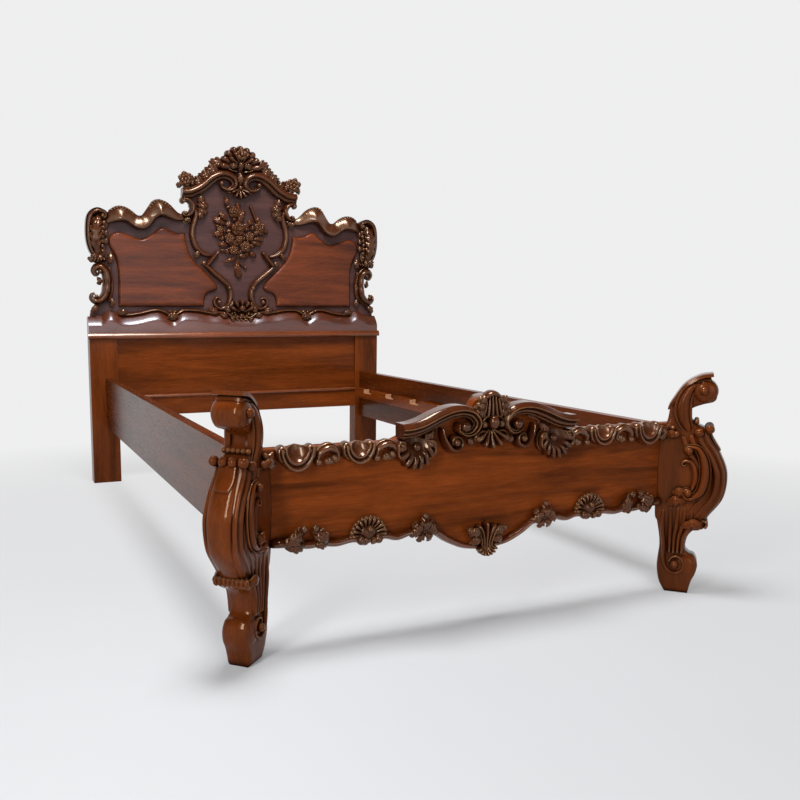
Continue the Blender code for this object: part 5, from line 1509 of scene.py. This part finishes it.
class BED_OT_stage(bpy.types.Operator):
    """Set the floor, the light and the camera"""
    bl_idname = "bed.stage"
    bl_label = "Stage"

    def execute(self, context):
        settings = context.scene.bed_stage
        self.floor(settings)
        self.light(context, settings)
        self.camera(context, settings)
        return {"FINISHED"}

    def floor(self, settings):
        """A pale floor that sweeps up into the backdrop."""
        turn = np.linspace(0, math.pi / 2, 13)
        line = [(FLOOR_FRONT, 0.0), (FLOOR_BACK, 0.0)]
        line += [(FLOOR_BACK + FLOOR_CURVE * math.sin(a),
                  FLOOR_CURVE * (1 - math.cos(a))) for a in turn[1:]]
        line += [(FLOOR_BACK + FLOOR_CURVE, FLOOR_TOP)]
        points = [(x, y, z) for y, z in line for x in (-FLOOR_HALF, FLOOR_HALF)]
        faces = [(2 * k, 2 * k + 1, 2 * k + 3, 2 * k + 2) for k in range(len(line) - 1)]
        mesh = bpy.data.meshes.new("studio_floor")
        mesh.from_pydata(points, [], faces)
        mesh.shade_smooth()
        made = Finish(bpy.data.materials.new("floor_paint"))
        place = made.node("TexCoord").outputs["Object"]
        cloud = made.node("TexNoise", {"Vector": place, "Scale": 1.4, "Detail": 4.0})
        tint = made.ramp(cloud.outputs["Fac"], [(0.3, shade(settings.floor, 0.97)),
                                                (0.7, tuple(settings.floor))])
        made.feed(made.shader, {"Base Color": tint,
                                "Roughness": made.between(cloud.outputs["Fac"], 0, 1, 0.7, 0.8)})
        apart = made.node("VectorMath", {0: place, 1: (-0.3, -1.2, 0.0)},
                          operation="DISTANCE").outputs["Value"]
        far = made.ramp(made.between(apart, 0.0, 3.5),
                        [(0.0, (0.1,) * 3), (0.5, (0.6,) * 3), (1.0, (1.0,) * 3)])
        shown = made.combine("MULTIPLY", self.sight(made), far)
        paper = made.node("Emission", {"Color": (*settings.backdrop, 1), "Strength": 1.0})
        mixed = made.node("MixShader", {0: shown, 1: made.shader.outputs[0], 2: paper.outputs[0]})
        made.links.new(mixed.outputs[0], made.nodes["Material Output"].inputs["Surface"])
        mesh.materials.append(made.material)
        floor = bpy.data.objects.new("studio_floor", mesh)
        bpy.context.scene.collection.objects.link(floor)

    def sight(self, made):
        """The rays that show the backdrop: seen straight, mirrored or through something clear."""
        path = made.node("LightPath").outputs
        rays = made.combine("MAXIMUM", path["Is Camera Ray"], path["Is Glossy Ray"])
        return made.combine("MAXIMUM", rays, path["Is Transmission Ray"])

    def light(self, context, settings):
        """A tall key from the left, a wide light overhead, a pale card in front and an even surround."""
        lamps = (("key_light", (-2.2, -2.4, 1.7), (0, -0.5, 0.5), 0.30, 1.7, settings.key_power),
                 ("top_light", (-0.4, -0.8, 3.8), (0, 0.0, 0.0), 1.15, 1.15, settings.top_power),
                 ("front_card", (0.2, -4.9, 1.5), (0, 1.0, 1.0), 2.4, 2.4, settings.card_power))
        for name, place, target, wide, tall, power in lamps:
            lamp = bpy.data.lights.new(name, "AREA")
            lamp.shape = "RECTANGLE"
            lamp.size = wide
            lamp.size_y = tall
            lamp.energy = power
            lamp.color = (0.95, 0.97, 1.0)
            holder = bpy.data.objects.new(name, lamp)
            holder.location = place
            holder.rotation_euler = (Vector(target) - Vector(place)).to_track_quat("-Z", "Y").to_euler()
            context.scene.collection.objects.link(holder)
        world = bpy.data.worlds.new("studio")
        made = Finish(world)
        even = made.nodes["Background"]
        made.feed(even, {"Color": (1, 1, 1, 1), "Strength": settings.sky})
        paper = made.node("Background", {"Color": (*settings.backdrop, 1)})
        aim = made.node("SeparateXYZ", {0: made.node("TexCoord").outputs["Generated"]})
        low = made.between(aim.outputs["Z"], 0.62, 0.22)
        shown = made.combine("MULTIPLY", self.sight(made), low)
        mixed = made.node("MixShader", {0: shown, 1: even.outputs[0], 2: paper.outputs[0]})
        made.links.new(mixed.outputs[0], made.nodes["World Output"].inputs["Surface"])
        context.scene.world = world

    def camera(self, context, settings):
        """The camera, at the angle of the photograph."""
        yaw, pitch, roll = np.radians((CAMERA_YAW, CAMERA_PITCH, CAMERA_ROLL)).tolist()
        ahead = Vector((math.sin(yaw) * math.cos(pitch), math.cos(yaw) * math.cos(pitch), -math.sin(pitch)))
        right = Vector((math.cos(yaw), -math.sin(yaw), 0))
        up = right.cross(ahead)
        turned = right * math.cos(roll) + up * math.sin(roll)
        upright = up * math.cos(roll) - right * math.sin(roll)
        eye = bpy.data.cameras.new("camera")
        eye.lens = settings.lens
        eye.sensor_width = 36.0
        eye.shift_x, eye.shift_y = CAMERA_SHIFT
        eye.clip_end = 100
        holder = bpy.data.objects.new("camera", eye)
        turn = Matrix((turned, upright, -ahead)).transposed().to_4x4()
        holder.matrix_world = Matrix.Translation(CAMERA_PLACE) @ turn
        context.scene.collection.objects.link(holder)
        context.scene.camera = holder
        context.scene.view_settings.view_transform = "Standard"


class BED_PT_panel(bpy.types.Panel):
    bl_idname = "BED_PT_panel"
    bl_label = "Carved bed"
    bl_space_type = "VIEW_3D"
    bl_region_type = "UI"
    bl_category = "Bed"

    def draw(self, context):
        for name in SETTINGS:
            box = self.layout.box()
            group = getattr(context.scene, name)
            for key in group.__annotations__:
                box.prop(group, key)
        for operator in STEPS:
            self.layout.operator(operator.bl_idname)


SETTINGS = {"bed_finish": FinishSettings, "bed_head": HeadSettings, "bed_foot": FootSettings,
            "bed_legs": LegSettings, "bed_stage": StageSettings}
STEPS = [BED_OT_boards, BED_OT_cove, BED_OT_upper_board, BED_OT_skirt, BED_OT_cresting,
         BED_OT_corner_leaves, BED_OT_side_scrolls, BED_OT_pediment_arms, BED_OT_crest, BED_OT_straps,
         BED_OT_bouquet, BED_OT_foot_panel, BED_OT_frieze, BED_OT_foot_arms, BED_OT_lower_moulding,
         BED_OT_legs, BED_OT_stage]


def register():
    for settings in SETTINGS.values():
        bpy.utils.register_class(settings)
    for name, settings in SETTINGS.items():
        setattr(bpy.types.Scene, name, PointerProperty(type=settings))
    for operator in STEPS:
        bpy.utils.register_class(operator)
    bpy.utils.register_class(BED_PT_panel)


def unregister():
    bpy.utils.unregister_class(BED_PT_panel)
    for operator in reversed(STEPS):
        bpy.utils.unregister_class(operator)
    for name, settings in SETTINGS.items():
        delattr(bpy.types.Scene, name)
        bpy.utils.unregister_class(settings)


def main():
    register()
    for operator in STEPS:
        group, name = operator.bl_idname.split(".")
        getattr(getattr(bpy.ops, group), name)()


if __name__ == "__main__":
    main()
